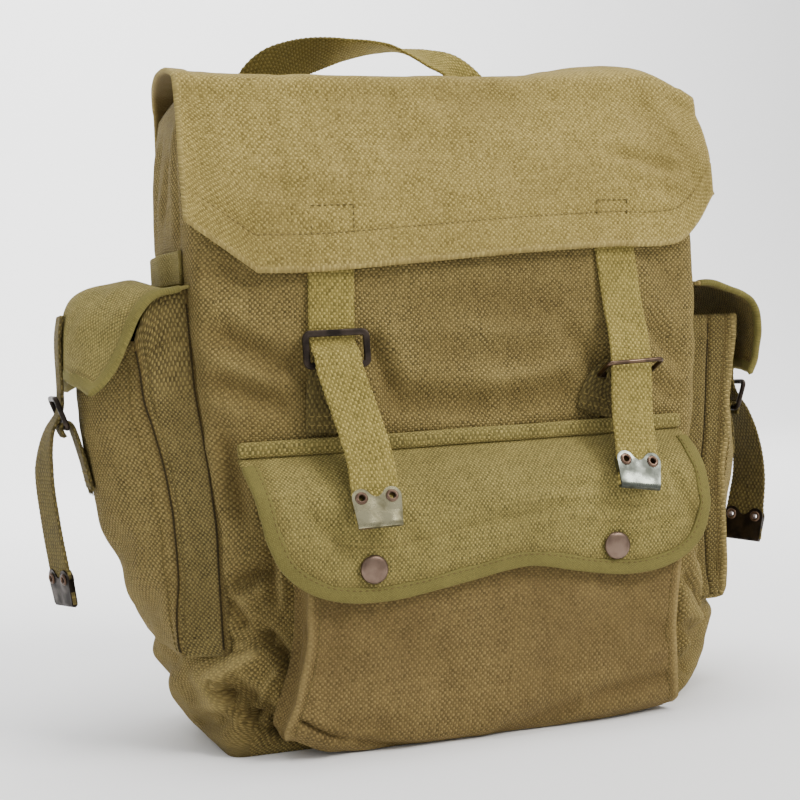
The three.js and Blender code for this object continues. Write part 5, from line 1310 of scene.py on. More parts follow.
def make_side_pocket(name, side):
    """One sheet: from the sack along the front gusset, across the outer panel and back along the rear gusset;
    below its floor it turns in to the sack. Ridges stand at the two seams."""
    z = np.concatenate([np.linspace(SIDE_FLOOR + SIDE_HEIGHT, 70, 80)[:-1], np.linspace(70, SIDE_FLOOR, 10)])
    narrow = 8.0 * ease(-z, -225, -110) if side > 0 else 0.0
    outer = SACK_WIDTH / 2 + side_at(name, z, "corner") * SIDE_REACH - 3.2 - narrow
    swell = side_at(name, z, "swell") * SIDE_REACH + 2.2 + narrow
    half = SIDE_LENGTH / 2 - 2.6
    ahead = half + (2.4 if side < 0 else 0.0)
    foremost = -ahead - (9.0 * ease(-z, -235, -170) if side < 0 else np.zeros(len(z)))
    seat_front = side_x(name, foremost, z) - 1.5
    seat_rear = side_x(name, half, z) - 1.5
    t = np.linspace(0, 1, 71)
    k = np.linspace(0, 1, 27)
    panel = np.stack([outer[:, None] + swell[:, None] * 4 * t * (1 - t),
                      np.broadcast_to(mix(-ahead, half, t), (len(z), len(t)))], -1)
    fore = np.stack([mix(seat_front[:, None], outer[:, None], k[None]),
                     mix(foremost[:, None], -ahead, k[None])], -1)
    rear = np.stack([mix(seat_rear[:, None], outer[:, None], k[None]), np.full((len(z), len(k)), half)], -1)
    fore[..., 1] += (1.6 * np.sin(math.pi * k))[None]
    rear[..., 1] -= (1.6 * np.sin(math.pi * k))[None]
    ring = np.concatenate([fore[:, :-1], panel, rear[:, ::-1][:, 1:]], 1)
    grid = np.stack([side * ring[..., 0], ring[..., 1], np.broadcast_to(z[:, None], ring.shape[:2])], -1)
    still = grid.copy()
    near = np.concatenate([k[:-1], np.ones(len(t)), k[::-1][1:]])
    up = np.clip(((z - SIDE_FLOOR) / SIDE_HEIGHT - 0.84) / 0.16, 0, 1)
    grid[..., 2] += (27.0 if side < 0 else 0.0) * up[:, None] * (1 - near ** 4)[None]
    out = np.broadcast_to([side * 1.0, 0.0, 0.0], grid.shape)
    rows = [((side * 170, -34, 205), (side * 178, 8, 178), 1.6, 9.0, 0.8, 0.8),
            ((side * 176, -30, 120), (side * 172, 20, 88), 1.8, 9.0, 0.9, 0.9),
            ((side * 168, -40, 88), (side * 165, 0, 66), 1.8, 7.0, 0.9, 0.9),
            ((side * 176, 40, 150), (side * 176, 10, 110), 1.4, 9.0, 0.7, 0.7)]
    fold, painted_shade = folds(grid, out, rows)
    seed = 51 if side < 0 else 61
    slack = 1.4 * rumple(grid, 34, seed) + 0.8 * rumple(grid, 15, seed + 1) + 0.25 * rumple(grid, 8, seed + 2)
    column = np.arange(grid.shape[1])
    first, second = len(k) - 1, len(k) - 2 + len(t)
    crown = np.zeros(grid.shape[1])
    crown[first:second + 1] = ease(1 - np.abs(2 * t - 1), 0, 0.12)
    grid = grid + out * ((fold + slack) * crown)[..., None]
    fore_side = (column < first) * ease(column, 1, 6) * (1 - ease(column, first - 6, first - 1))
    loose = 0.8 + (2.2 * ease(-z, -125, -75)[:, None] if side > 0 else 0.0)
    grid[..., 1] += fore_side * (loose * rumple(grid, (14, 14, 24), seed + 3) - 0.2)
    grid[..., 0] += side * 1.3 * rumple(grid, (22, 22, 19), seed + 5) * near[None]
    crease = bell(column - first + 12, 1.3) * (side > 0) * ease(-z, -245, -225)[:, None]
    grid[..., 1] += 1.6 * crease
    piping = 1.8 if side > 0 else -0.5
    ridge = (bell(column - first, 1.3) + bell(column - second, 1.3)) * (side > 0)
    for edge, turn in ((first, -1.0), (second, 1.0)):
        corner = unit(np.array([side * 1.0, turn, 0.0]))
        grid = grid + corner * (piping * bell(column - edge, 1.3))[None, :, None]
        grid = grid - corner * (0.7 * bell(np.abs(column - edge) - 2.8, 0.9))[None, :, None]
    inset = (bell(column - first + 3.0, 0.9) + bell(column - first - 3.0, 0.9) if side > 0
             else bell(column - first, 0.9) + bell(column - second, 0.9))
    last = grid[-1]
    inner = last.copy()
    inner[:, 0] = side * np.minimum(np.abs(last[:, 0]), side_x(name, last[:, 1], SIDE_FLOOR) - 1.5)
    inner[:, 2] = SIDE_FLOOR + 0.5
    q = np.array([0.05, 0.14, 0.3, 0.55, 0.8, 1.0])[:, None, None]
    under = mix(last[None], inner[None], q)
    under[..., 2] -= 1.2 * np.sin(math.pi * q[..., 0])
    grid = np.concatenate([grid, under])
    painted_shade = np.concatenate([painted_shade * crown, np.zeros(under.shape[:2])])
    flat = flat_places(np.concatenate([still, under]))
    normal = normals_of(grid)
    normal *= side * np.sign(normal[40, first + 35, 0])
    hem = 1 - ease(flat[..., 1], 13, 15)
    points, faces, uvs = cloth_sheet(grid, flat, CANVAS + 0.5 * hem, normal)
    last_column = grid.shape[1] - 1
    # painted shade: the right pocket's front gusset, its crease, the grooves by its piping, the folds'
    # creases and the edges where it meets the sack are darker
    shade = 0.35 * (column < first) if side > 0 else 0.0
    seam_and_crease_shade = np.vstack([1.2 * crease, np.zeros((len(q), grid.shape[1]))]) + shade + 1.5 * inset
    seam_and_crease_shade += 1.3 * (bell(column - 2, 2.0) + bell(column - last_column + 2, 2.0))
    worn = np.zeros(grid.shape[:2]) + 0.35 * ridge[None]
    piece = keep(f"side_pocket_{name}_cloth", points, faces, uvs, sack_canvas, [f"side_pocket_{name}"],
                 {"painted_shade": on_sheet(np.clip(painted_shade + seam_and_crease_shade, 0, 1.4)), "worn": on_sheet(worn)})
    mesh = piece.data
    mesh.materials.append(gusset_canvas)
    width = grid.shape[1] + 2
    cell = np.arange((grid.shape[0] + 1) * (width - 1)) % (width - 1)
    gusset = (cell < first) | (cell > second)
    gusset = np.concatenate([gusset, gusset])
    mesh.polygons.foreach_set("material_index", gusset.astype(np.int32))
    lines = []
    for at in (first - 4, first + 4, second - 4, second + 4):
        path = grid[2:len(z) - 1, at] + normal[2:len(z) - 1, at] * (CANVAS / 2 + 0.05)
        lines.append(stitch_line(path, normal[2:len(z) - 1, at]))
    # near-black stitches along the seams and the crease, as painted shade of their crevices
    seams = []
    for at in (3, first, second) if side < 0 else (3, first - 12):
        path = grid[2:len(z) - 1, at] + normal[2:len(z) - 1, at] * (CANVAS / 2)
        seams.append(stitch_line(path, normal[2:len(z) - 1, at], 1.7, 2.4, 0.62, 0.25))
    sew(f"side_pocket_{name}_seams", seams, seam_shade_thread)
    row = int(np.argmin(np.abs(flat[:, 40, 1] - 13)))
    lines.append(stitch_line(grid[row, 3:-3] + normal[row, 3:-3] * (CANVAS / 2 + 0.2), normal[row, 3:-3]))
    sew(f"side_pocket_{name}_stitches", lines, dark_thread)


def side_flap_point(name, side, u, v):
    """A side flap's middle surface: its edge and middle columns blended by a parabola across it."""
    u, v = np.broadcast_arrays(np.asarray(u, float), np.asarray(v, float))
    table = SIDE_FLAP[name]
    middle = 4 * u * (1 - u)
    y = (u - 0.5) * SIDE_FLAP_LENGTH
    out = mix(cubic(table, "edge_out", v), cubic(table, "mid_out", v), middle)
    down = mix(cubic(table, "edge_down", v), cubic(table, "mid_down", v), middle)
    z = SIDE_FLAP_TOP[name] - down * SIDE_FLAP_DROP
    seat = side_x(name, y, SIDE_FLAP_TOP[name]) + SEAT_GAP + FLAP_CLOTH / 2
    return np.stack([side * (seat + out * SIDE_FLAP_REACH), y, z], -1)


def make_side_flap(name, side):
    """The flap's cloth with a thick rolled edge, and slow waves towards its free edge."""
    u, v = np.linspace(0, 1, 97), np.linspace(0, 1, 75)
    grid = side_flap_point(name, side, u[None], v[:, None])
    flat = flat_places(grid)
    normal = normals_of(grid)
    normal *= np.sign(normal[10, 48, 2])
    seed = 71 if side < 0 else 75
    free = ease(v, 0.1, 0.4)[:, None] * (1 - 0.8 * bell(grid[..., 1], 15) * ease(v, 0.5, 0.7)[:, None])
    wave = (2.2 * rumple(grid, (22, 26, 22), seed) + 0.8 * rumple(grid, 10, seed + 1)) * free
    grid = grid + normal * wave[..., None]
    from_side = np.minimum(lengths(grid, 1), lengths(grid[:, ::-1], 1)[:, ::-1])
    from_hem = (lengths(grid, 0)[-1:] - lengths(grid, 0))
    edge = np.minimum(from_side + 1e3 * (1 - ease(v, 0.02, 0.06))[:, None], from_hem)
    rim = 1 - ease(edge, 4.5, 5.8)
    points, faces, uvs = cloth_sheet(grid, flat, FLAP_CLOTH - 0.4 + 1.5 * rim, normal)
    # painted shade just inside the flap's rolled rim
    piece = keep(f"side_flap_{name}_cloth", points, faces, uvs, flap_canvas if side < 0 else sack_canvas,
                 [f"side_flap_{name}"], {"painted_shade": on_sheet(1.2 * bell(edge - 6.1, 0.9))})
    mesh = piece.data
    mesh.materials.append(green_tape)
    wide = np.pad(rim, 1, mode="edge")
    share = (wide[:-1, :-1] + wide[1:, 1:]) / 2 > 0.5
    mesh.polygons.foreach_set("material_index", np.concatenate([share.ravel(),
                                                                share.ravel()]).astype(np.int32))


# Straps, their tips and buckles
TIP_LENGTH, EAR_RADIUS, EYELET_SPACING, TIP_NOTCH, TIP_METAL = 19.0, 5.0, 16.0, 7.0, 0.8


def plate(outline, holes, spacing):
    """A flat blank as points and triangles, from its outline, its round holes and a lattice inside it."""
    low, high = outline.min(0), outline.max(0)
    rings = [outline]
    for x, z, radius in holes:
        turn = circle(20)
        rings.append(np.stack([x + np.cos(turn) * radius, z + np.sin(turn) * radius], -1))
    points, edges = [], []
    for ring in rings:
        start = sum(len(r) for r in points)
        count = len(ring)
        edges += [(start + k, start + (k + 1) % count) for k in range(count)]
        points.append(ring)

    def inside(places, ring):
        nxt = np.roll(ring, -1, 0)
        crosses = (ring[None, :, 1] > places[:, None, 1]) != (nxt[None, :, 1] > places[:, None, 1])
        slope = (nxt[:, 0] - ring[:, 0]) / np.where(nxt[:, 1] == ring[:, 1], 1e-9, nxt[:, 1] - ring[:, 1])
        at = ring[None, :, 0] + (places[:, None, 1] - ring[None, :, 1]) * slope
        return (np.sum(crosses & (places[:, None, 0] < at), 1) % 2).astype(bool)

    xs = np.arange(low[0] + spacing, high[0] - spacing * 0.5, spacing)
    zs = np.arange(low[1] + spacing, high[1] - spacing * 0.5, spacing)
    lattice = np.stack(np.meshgrid(xs, zs), -1).reshape(-1, 2)
    every = np.vstack(points)
    clear = np.min(np.linalg.norm(lattice[:, None] - every[None], axis=-1), 1) > spacing * 0.6
    for x, z, radius in holes:
        clear &= np.hypot(lattice[:, 0] - x, lattice[:, 1] - z) > radius + 0.3
    every = np.vstack([every, lattice[clear & inside(lattice, outline)]])
    made = delaunay_2d_cdt([tuple(p) for p in every], edges, [], 0, 1e-5)
    places = np.array([tuple(p) for p in made[0]])
    faces = np.array([f for f in made[2] if len(f) == 3])
    centre = places[faces].mean(1)
    held = inside(centre, outline)
    for x, z, radius in holes:
        held &= np.hypot(centre[:, 0] - x, centre[:, 1] - z) > radius * 0.97
    return places, faces[held]


def thick_plate(places, faces, lift, thickness):
    """A closed solid from a flat blank that lift bends into place: both faces, joined round every border."""
    top, under = lift(places, thickness / 2), lift(places, -thickness / 2)
    edges = np.vstack([faces[:, [0, 1]], faces[:, [1, 2]], faces[:, [2, 0]]])
    keys = np.sort(edges, 1)
    _, index, count = np.unique(keys, axis=0, return_index=True, return_counts=True)
    rim = edges[index[count == 1]]
    n = len(places)
    sides = np.stack([rim[:, 1], rim[:, 0], rim[:, 0] + n, rim[:, 1] + n], -1)
    tris = np.vstack([faces, faces[:, ::-1] + n])
    points = np.vstack([top, under])
    uv = np.vstack([places, places])
    return points, [sides, tris], [uv[sides], uv[tris]]


def in_frame(frame4, x, y, z):
    """Places given in a frame's own axes, in the bag's."""
    local = np.stack(np.broadcast_arrays(x, y, z), -1)
    return local @ frame4[:3, :3].T + frame4[:3, 3]


def tip_outline():
    """The blank of a folded tip: two ears with a notch between them at each end, as (across, along)."""
    half, ear = WEB_WIDTH / 2 + 0.5, EYELET_SPACING / 2
    fold = 2 * TIP_LENGTH + 2 * (WEBBING / 2 + GAP + TIP_METAL)
    turn = np.linspace(0, 0.83 * math.pi, 15)
    first = np.stack([ear + (half - ear) * np.cos(turn), TIP_LENGTH - EAR_RADIUS + EAR_RADIUS * np.sin(turn)],
                     -1)
    k = np.linspace(0, 1, 9)[1:-1][:, None]
    low = np.array([[0.0, TIP_LENGTH - TIP_NOTCH]])
    start, end = first[-1:], first[-1:] * [[-1, 1]]
    notch = start * (1 - k) ** 2 + 2 * low * k * (1 - k) + end * k * k
    upper = np.vstack([first, notch, first[::-1] * [[-1, 1]]])
    lower = upper[::-1] * [[1, -1]] - [[0, fold - 2 * TIP_LENGTH]]
    return np.vstack([upper, lower]), fold - 2 * TIP_LENGTH


def make_tip(name, frame4, material):
    """A strap's metal tip: a blank with ears, folded round the strap's end and dented a little."""
    outline, turn_length = tip_outline()
    ear = EYELET_SPACING / 2
    up = TIP_LENGTH - EAR_RADIUS
    down = -turn_length - up
    holes = [(-ear, up, 2.35), (ear, up, 2.35), (-ear, down, 2.35), (ear, down, 2.35)]
    places, faces = plate(outline, holes, 1.3)
    radius = turn_length / math.pi

    def lift(flat, offset):
        x, s = flat[:, 0], flat[:, 1]
        angle = np.clip(-s / radius, 0, math.pi)
        out = radius + offset
        bend = np.stack([x, -np.cos(angle) * out, -np.sin(angle) * out], -1)
        bend[:, 2] += np.where(s > 0, s, np.where(s < -turn_length, -(s + turn_length), 0))
        dent = 0.22 * rumple(np.stack([x, 0 * x, s], -1), 6.0, 5)
        bend[:, 1] += dent * np.sign(bend[:, 1])
        return in_frame(frame4, bend[:, 0], bend[:, 1], bend[:, 2])

    points, parts, uvs = thick_plate(places, faces, lift, TIP_METAL)
    keep(f"{name}_metal", points, parts, uvs, material, [name],
         sharp=50)


def make_eyelet(name, frame4, x):
    """A rolled eyelet: its section, a flange at each end of a short barrel, turned round its own axis."""
    top = WEBBING / 2 + GAP + TIP_METAL
    section = np.array([(1.5, -top), (1.62, -top - 0.55), (2.1, -top - 0.85), (2.8, -top - 0.7),
                        (3.3, -top - 0.12),
                        (3.1, -top - 0.02), (2.2, -top - 0.02), (2.2, top + 0.02), (3.1, top + 0.02),
                        (3.3, top + 0.12), (2.8, top + 0.7), (2.1, top + 0.85), (1.62, top + 0.55),
                        (1.5, top)])
    turn = circle(28)
    rings = in_frame(frame4, x + np.cos(turn)[:, None] * section[:, 0], section[:, 1] + 0 * turn[:, None],
                     TIP_LENGTH - EAR_RADIUS + np.sin(turn)[:, None] * section[:, 0])
    flat = np.zeros((29, len(section) + 1, 2))
    points, faces, uvs = loft(rings, flat, ends=False)
    keep(f"{name}_ring", points, faces, uvs, brown_metal, [name], sharp=60)


def make_strap(name, stops, widths, tip_material, web, cup=0.0):
    """A strap: webbing up to its tip, the holed end inside the tip, the folded tip and its two eyelets."""
    way = route(stops, widths, straight=TIP_LENGTH)
    frame4 = end_frame(way)
    back = way["run"][-1] - way["run"]
    cut = int(np.argmax(back <= TIP_LENGTH - 0.5)) + 1
    points, faces, uvs = belt(way, WEB_WIDTH, WEBBING, cup, stop=cut)
    keep(f"{name}_web", points, faces, uvs, web, [name])
    top = back[cut - 1]
    half = WEB_WIDTH / 2 - 0.1
    outline = np.array([(half, 0.0), (half, top / 2), (half, top), (0, top), (-half, top), (-half, top / 2),
                        (-half, 0), (0, 0)])
    ear = EYELET_SPACING / 2
    places, blank = plate(outline, [(-ear, 14.0, 2.25), (ear, 14.0, 2.25)], 2.2)

    def lift(flat, offset):
        return in_frame(frame4, flat[:, 0], offset + 0 * flat[:, 0], flat[:, 1])

    points, parts, uvs = thick_plate(places, blank, lift, WEBBING - 0.02)
    for u in uvs:
        u[..., 1] = way["run"][-1] - u[..., 1]
    keep(f"{name}_end", points, parts, uvs, web, sharp=40)
    make_tip(name.replace("strap", "strap_tip"), frame4, tip_material)
    for i, x in enumerate((-ear, ear)):
        make_eyelet(f"{name.replace('strap', 'strap_eyelet')}_{i + 1}", frame4, x)


def make_buckle(name, top, lower, across, width, height, radius, section, material=None):
    """A buckle: a flattened round bar carried round a rectangle with round corners. section is its
    half-size in the plane of the buckle and across it, and how square it is."""
    top, lower = np.asarray(top, float), np.asarray(lower, float)
    up = unit(top - lower)
    side = unit(np.asarray(across, float) - up * np.dot(across, up))
    face = np.cross(up, side)
    middle = lower + up * height / 2
    turn = []
    for (sx, sz), quarter in (((1, 1), 0), ((-1, 1), 1), ((-1, -1), 2), ((1, -1), 3)):
        for k in range(9):
            angle = (quarter + k / 8) * math.pi / 2
            turn.append((sx * (width / 2 - radius), sz * (height / 2 - radius), math.cos(angle),
                         math.sin(angle)))
    turn = np.array(turn)
    in_plane, through, square = section
    around = circle(14)
    a = signed_power(np.cos(around), square) * in_plane
    b = signed_power(np.sin(around), square) * through
    x = turn[:, 0:1] + turn[:, 2:3] * (radius + a[None])
    z = turn[:, 1:2] + turn[:, 3:4] * (radius + a[None])
    rings = middle + x[..., None] * side + z[..., None] * up + np.broadcast_to(b, x.shape)[..., None] * face
    flat = np.zeros((len(turn) + 1, 15, 2))
    points, faces, uvs = loft(rings, flat, ends=False)
    keep(f"{name}_frame", points, faces, uvs, material or dark_metal, [name], sharp=50)


LAYER = GAP + WEBBING / 2
BAR_OUT = GAP + WEBBING + GAP + 1.5
WRAP_OUT = WEBBING / 2 + SEAT_GAP + 1.5


def on_wall(across, up, out):
    """A place that far in front of the sack's face. across is a share of its half-width, and up is 0 at the
    front flap's seam and 1 at the sack's top."""
    x, z = across * SACK_WIDTH / 2, mix(FLAP_TOP, SACK_HEIGHT, up)
    return np.array([x, float(front_y(x, z)) - out, z])


def along_wall(across, up):
    """The direction across a strap that lies on the sack's face."""
    half = WEB_WIDTH / 2
    x, z = across * SACK_WIDTH / 2, mix(FLAP_TOP, SACK_HEIGHT, up)
    return np.array([WEB_WIDTH, float(front_y(x + half, z) - front_y(x - half, z)), 0.0])


def make_chape(name, foot, rise, bar, across_foot, across_bar, outward, web, seed):
    """A sewn-down tab of webbing that wraps a buckle's bar, with frayed threads at its cut end."""
    bar, rise, foot = (np.asarray(p, float) for p in (bar, rise, foot))
    across_bar, outward = unit(np.asarray(across_bar, float)), np.asarray(outward, float)
    down = rise - bar
    down = unit(down - across_bar * np.dot(down, across_bar))
    back = -outward
    back = unit(back - down * np.dot(back, down))
    angles = np.arange(5) * math.pi / 4
    turns = [bar + back * math.cos(a) * WRAP_OUT - down * math.sin(a) * WRAP_OUT for a in angles]
    stops = [foot, rise, *turns, turns[-1] + down * 4]
    widths = [across_foot, across_foot] + [across_bar] * 6
    way = route(stops, widths, step=0.8)
    points, faces, uvs = belt(way, WEB_WIDTH, WEBBING)
    keep(f"{name}_web", points, faces, uvs, web, [name])
    fray(f"{name}_fray", way, web, seed)
    lines = []
    for inset in (4.0, 9.0):
        spot = int(np.argmin(np.abs(way["run"] - inset)))
        path = way["middle"][spot] + way["across"][spot] * np.linspace(-10.5, 10.5, 12)[:, None]
        lines.append(stitch_line(path + unit(outward) * (WEBBING / 2 + 0.1),
                                 np.broadcast_to(unit(outward), path.shape)))
    sew(f"{name}_stitches", lines, thread)


def fray(name, way, material, seed, count=26, reach=5.0):
    """Loose warp ends at a cut end: thin cords that leave the end and curl, each with its own length."""
    rng = np.random.default_rng(seed)
    points, quads, flats, tris, tri_uv, total = [], [], [], [], [], 0
    start = way["middle"][0]
    along, across, normal = way["along"][0], way["across"][0], way["normal"][0]
    for _ in range(count):
        side = rng.uniform(-0.48, 0.48) * WEB_WIDTH
        length = rng.uniform(0.35, 1.0) * reach
        t = np.linspace(0, 1, 6)[:, None]
        drift = rng.normal(0, 0.5) * across + rng.normal(0, 0.12) * normal
        path = (start + across * side + along * 1.0 + normal * rng.uniform(-0.7, 0.7)
                - along * (length + 1) * t + drift * length * t ** 2)
        p, f, u = tube(path, 0.22 * (1 - 0.5 * t[:, 0]), sides=5)
        points.append(p)
        quads.append(f[0] + total)
        tris.append(f[1] + total)
        flats.append(u[0])
        tri_uv.append(u[1])
        total += len(p)
    keep(name, np.vstack(points), [np.vstack(quads), np.vstack(tris)], [np.vstack(flats), np.vstack(tri_uv)],
         material)


LID_STRAPS = {
    "left": [(-0.503, 0.619, 0), (-0.507, 0.51, 0), (-0.517, 0.376, 0), (-0.521, 0.304, 0.03),
             (-0.517, 0.271, 0.27),
             (-0.514, 0.232, 0.37), (-0.483, 0.108, 0.72), (-0.462, -0.005, 1.1), (-0.462, -0.085, 1.33)],
    "right": [(0.634, 0.624, 0), (0.641, 0.51, 0), (0.645, 0.376, 0.12), (0.641, 0.289, 0.36),
              (0.628, 0.206, 0.58),
              (0.593, 0.072, 0.9), (0.569, -0.046, 1.27)],
}
LID_BUCKLES = {"left": (-0.51, 0.33, BAR_OUT, 0.242, BAR_OUT + 2 * GAP),
               "right": (0.628, 0.203, 5 * BAR_OUT, 0.173, 1.7 * BAR_OUT)}
LID_CHAPES = {"left": ((-0.55, 0.06), (-0.538, 0.18)), "right": ((0.515, 0.062), (0.545, 0.125))}
SIDE_STRAPS = {
    "left": [(1.045, 0.848, 0), (1.06, 0.794, 0), (1.16, 0.727, 5), (1.22, 0.606, 16), (1.19, 0.424, 17),
             (1.14, 0.273, 18)],
    "right": [(0.87, 0.758, 0), (0.91, 0.709, 0), (1.01, 0.642, 5), (1.1, 0.533, 10), (1.12, 0.4, 20),
              (1.06, 0.267, 34)],
}
SIDE_BUCKLES = {"left": (1.105, 0.83, 1.02, 0.739), "right": (0.955, 0.745, 0.87, 0.655)}
LOOP_LENGTH, LOOP_WIDTH = 92, 18
SIDE_CHAPES = {"left": (0.533, 0.636), "right": (0.485, 0.582)}


def make_lid_straps():
    """Both lid straps with their tips, buckles and sewn tabs."""
    for name in ("left", "right"):
        stops = [on_wall(across, up, LAYER + free * POCKET_DEPTH) for across, up, free in LID_STRAPS[name]]
        widths = [along_wall(across, up) for across, up, _ in LID_STRAPS[name]]
        make_strap(f"lid_strap_{name}", stops, widths, steel if name == "left" else dull_steel, yellow_web)
        across, top, top_out, low, lower_out = LID_BUCKLES[name]
        bar = on_wall(across, low, lower_out)
        section = (1.8, 1.2, 0.45) if name == "left" else (1.3, 1.2, 0.9)
        make_buckle(f"lid_buckle_{name}", on_wall(across, top, top_out), bar, along_wall(across, low), 32.6,
                    17.0, 2.6,
                    section, dark_metal if name == "left" else worn_wire)
        foot, rise = LID_CHAPES[name]
        make_chape(f"lid_chape_{name}", on_wall(*foot, LAYER + 1.5 * SEAT_GAP),
                   on_wall(*rise, LAYER + 1.5 * SEAT_GAP),
                   bar, along_wall(*foot), along_wall(across, low), (0, -1, 0), dark_web,
                   7 if name == "left" else 9)


def make_side_straps(name, side):
    """A side strap with its tip, buckle, sewn tab and the flat loop above the flap."""
    def flap(v):
        return side_flap_point(name, side, 0.5, v)

    stops, widths = [], []
    for v in (0.74, 0.82, 0.9, 0.98):
        out = unit(np.cross(flap(v + 0.01) - flap(v - 0.01), [0, side, 0]))
        stops.append(flap(v) + out * ((FLAP_CLOTH + WEBBING) / 2 + SEAT_GAP))
        widths.append([0, side, 0])

    def beyond(out):
        return side * (SACK_WIDTH / 2 + out * SIDE_REACH)

    def up_pocket(up):
        return SIDE_FLOOR + up * SIDE_HEIGHT

    for out, up, turn in SIDE_STRAPS[name]:
        angle = math.radians(turn)
        stops.append([beyond(out), 0, up_pocket(up)])
        widths.append([-side * math.sin(angle), side * math.cos(angle), 0])
    make_strap(f"side_strap_{name}", stops, widths, dark_metal, dark_web)
    top_out, top, lower_out, low = SIDE_BUCKLES[name]
    bar = [beyond(lower_out), 0, up_pocket(low)]
    make_buckle(f"side_buckle_{name}", [beyond(top_out), 0, up_pocket(top)], bar, [0, side, 0], 32, 17.0, 3.0,
                (1.5, 1.4, 0.9))
    foot, rise = SIDE_CHAPES[name]

    def on_pocket(z):
        share = side_at(name, z, "corner") + side_at(name, z, "swell")
        return [side * (SACK_WIDTH / 2 + float(share) * SIDE_REACH + LAYER + SEAT_GAP), 0, z]

    make_chape(f"side_chape_{name}", on_pocket(up_pocket(foot)), on_pocket(up_pocket(rise)), bar,
               [0, side, 0],
               [0, side, 0], (side, 0, 0), dark_web, 11 if name == "left" else 13)
    loop_z = SIDE_FLAP_TOP[name] + 11
    stops = []
    for share in (-0.5, -0.36, -0.18, 0, 0.18, 0.36, 0.5):
        y = share * LOOP_LENGTH
        off = 3 if abs(share) < 0.3 else 0
        stops.append([side * (float(side_x(name, y, loop_z)) + LAYER + off), y, loop_z])
    way = route(stops, [[0, 0, 1]] * len(stops))
    points, faces, uvs = belt(way, LOOP_WIDTH, WEBBING, scallop=0.1)
    keep(f"side_loop_{name}_tape", points, faces, uvs, flap_canvas, [f"side_loop_{name}"])


HANDLE_SPAN, HANDLE_RISE = 152.0, 47.0
HANDLE = [
    (-1.05, -0.95, 0, (1, 0, 0)), (-1.05, -0.1, 0, (1, 0, -0.05)), (-1.06, 0.2, 0, (1, 0.05, -0.15)),
    (-1.03, 0.5, 3, (0.9, 0.15, -0.45)), (-0.9, 0.72, 7, (0.55, 0.3, -0.8)),
    (-0.66, 0.86, 8, (0.15, 0.5, -0.8)),
    (-0.28, 0.97, 8, (0.1, 0.9, -0.32)), (0.05, 1, 8, (0, 1, 0.02)), (0.42, 0.88, 7, (0.2, 0.75, 0.55)),
    (0.65, 0.76, 5, (0.6, 0.55, 0.6)), (0.82, 0.5, 2, (0.95, 0.2, 0.3)), (0.9, 0.25, 0, (1, 0.1, 0.1)),
    (0.94, -0.1, 0, (1, 0, 0)), (0.94, -0.95, 0, (1, 0, 0)),
]


def make_handle():
    """The carrying handle: webbing that turns over once between its two sewn ends."""
    out = SEAT_GAP + FLAP_CLOTH + LAYER + SEAT_GAP
    stops, widths = [], []
    for across, up, ahead, width in HANDLE:
        x, z = across * HANDLE_SPAN / 2, SACK_HEIGHT + up * HANDLE_RISE
        stops.append([x, float(back_y(x, min(z, SACK_HEIGHT))) + out - ahead, z])
        widths.append(width)
    way = route(stops, widths)
    points, faces, uvs = belt(way, WEB_WIDTH, WEBBING)
    # painted shade: the left half of the handle, whose face turns away from the light, is darker
    marks = {"painted_shade": 1.3 * (1 - ease(points[:, 0], -45, -5)) * ease(points[:, 2], 345, 352)}
    keep("handle_web", points, faces, uvs, yellow_web, ["handle"], marks)


STUD_SPACING, STUD_UP = 137, 15.5


def make_studs():
    """Press studs: a domed cap with a rolled rim, its profile turned round its own axis."""
    profile = np.array([(0, 2.45), (2.5, 2.42), (4.6, 2.3), (6.0, 2.05), (6.9, 1.6), (7.35, 1.0),
                        (7.45, 0.45),
                        (7.2, 0.08), (6.6, 0.0), (3.0, 0.0)])
    for name, side in (("left", -1), ("right", 1)):
        x = side * STUD_SPACING / 2
        z = FLAP_TOP - FLAP_DROP + STUD_UP
        centre = np.array([x, float(flap_y(x, z)) - FLAP_CLOTH / 2 - 0.2, z])
        turn = circle(48)
        radius, height = profile[:, 0], profile[:, 1]
        rings = np.stack(np.broadcast_arrays(np.cos(turn)[None] * radius[:, None] + centre[0],
                                             centre[1] - height[:, None],
                                             np.sin(turn)[None] * radius[:, None] + centre[2]), -1)
        points, faces, uvs = loft(rings[1:], np.zeros((len(profile) - 1, 49, 2)))
        keep(f"press_stud_{name}_cap", points, faces, uvs, stud_metal, [f"press_stud_{name}"],
             sharp=55)


make_sack()
make_lid()
make_front_pocket()
make_front_flap()
make_welt()
make_studs()
make_lid_straps()
for side_name, sign in (("left", -1), ("right", 1)):
    make_side_pocket(side_name, sign)
    make_side_flap(side_name, sign)
    make_side_straps(side_name, sign)
make_handle()


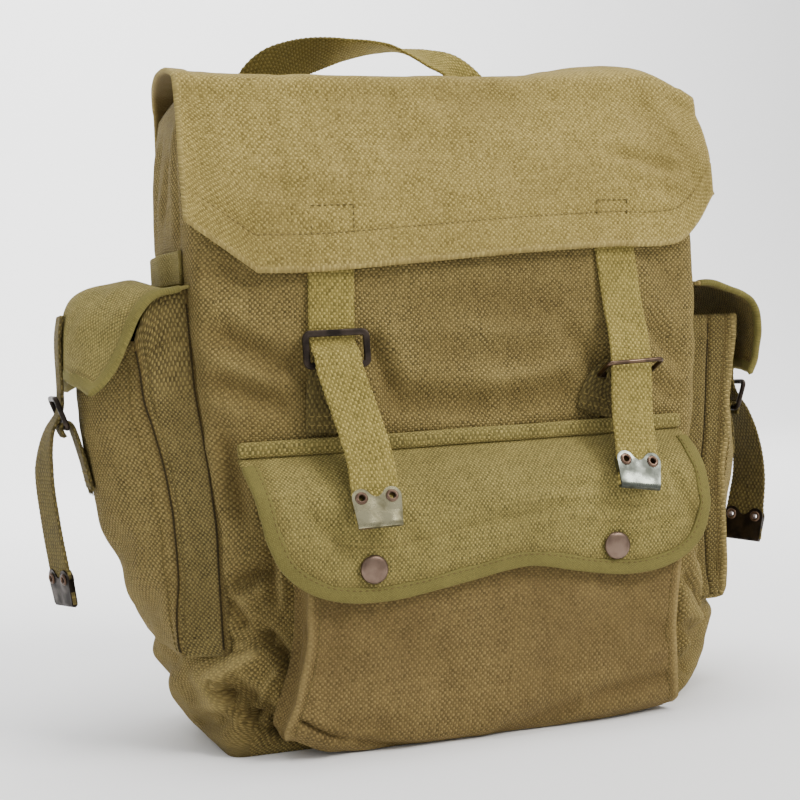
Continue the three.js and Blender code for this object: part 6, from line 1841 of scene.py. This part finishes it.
# Floor, light and camera
def make_studio():
    """A pale floor that curves up far behind, soft lights, and the camera where the photograph's stood."""
    material, tree, shader = bare("pale_floor")
    place = tree.nodes.new("ShaderNodeTexCoord").outputs["Object"]
    cloud = put(tree, "ShaderNodeTexNoise", {"Vector": place, "Scale": 1.5, "Detail": 2.0})
    tone = blend(tree, cloud.outputs[0], (0.94, 0.94, 0.94, 1), (0.97, 0.97, 0.97, 1))
    feed(tree, shader, {"Base Color": tone, "Roughness": 0.9})
    x = np.linspace(-4, 4, 9)
    y = np.concatenate([np.linspace(-4, 2.2, 8), 2.2 + 1.2 * np.sin(np.linspace(0, math.pi / 2, 14)[1:]),
                        [3.4]])
    z = np.concatenate([np.zeros(8), 1.2 * (1 - np.cos(np.linspace(0, math.pi / 2, 14)[1:])), [5.0]])
    grid = np.stack(np.broadcast_arrays(x[None], y[:, None], z[:, None]), -1)
    mesh = bpy.data.meshes.new("floor")
    mesh.from_pydata(grid.reshape(-1, 3).tolist(), [], cells(len(y), len(x)).tolist())
    mesh.polygons.foreach_set("use_smooth", np.ones(len(mesh.polygons), bool))
    floor = bpy.data.objects.new("floor", mesh)
    bpy.context.scene.collection.objects.link(floor)
    mesh.materials.append(material)

    for label, place, size, power, tint in (
            ("key", (1.2, -1.5, 1.7), 0.9, 52, (1.0, 0.98, 0.95)),
            ("fill", (-1.7, -1.2, 0.8), 1.6, 6, (0.95, 0.98, 1.0)),
            ("top", (0.1, -0.2, 2.2), 1.2, 34, (1.0, 1.0, 1.0)),
            ("wall", (0.0, 1.4, 2.4), 2.4, 170, (1.0, 1.0, 1.0))):
        light = bpy.data.lights.new(label, "AREA")
        light.size = size
        light.energy = power
        light.color = tint
        lamp = bpy.data.objects.new(label, light)
        bpy.context.scene.collection.objects.link(lamp)
        back = unit(np.array(place) - np.array([0, 0, 0.2] if label != "wall" else [0, 3.6, 0.9]))
        lamp.matrix_world = looking(np.array(place), back, 0.0)
    world = bpy.data.worlds.new("studio")
    world.use_nodes = True
    world.node_tree.nodes["Background"].inputs[0].default_value = (1, 1, 1, 1)
    world.node_tree.nodes["Background"].inputs[1].default_value = 0.66
    bpy.context.scene.world = world

    azimuth, elevation = math.radians(18.2), math.radians(1.5)
    back = np.array([-math.sin(azimuth) * math.cos(elevation), -math.cos(azimuth) * math.cos(elevation),
                     math.sin(elevation)])
    camera = bpy.data.cameras.new("camera")
    camera.lens = 67.5
    camera.sensor_width = 36
    camera.clip_start, camera.clip_end = 0.01, 50
    eye = bpy.data.objects.new("camera", camera)
    bpy.context.scene.collection.objects.link(eye)
    eye.matrix_world = looking(np.array([-0.0154, 0, 0.1805]) + back * 0.878, back, math.radians(-3.1))
    bpy.context.scene.camera = eye


def looking(place, back, roll):
    """A matrix at a place that looks away from back, turned by roll about its view."""
    right = unit(np.cross(-back, [0, 0, 1.0]))
    up = np.cross(right, -back)
    turned_right = right * math.cos(roll) + up * math.sin(roll)
    turned_up = up * math.cos(roll) - right * math.sin(roll)
    made = np.eye(4)
    made[:3, 0], made[:3, 1], made[:3, 2], made[:3, 3] = turned_right, turned_up, back, place
    return Matrix(made.tolist())


make_studio()
bpy.context.view_layer.update()
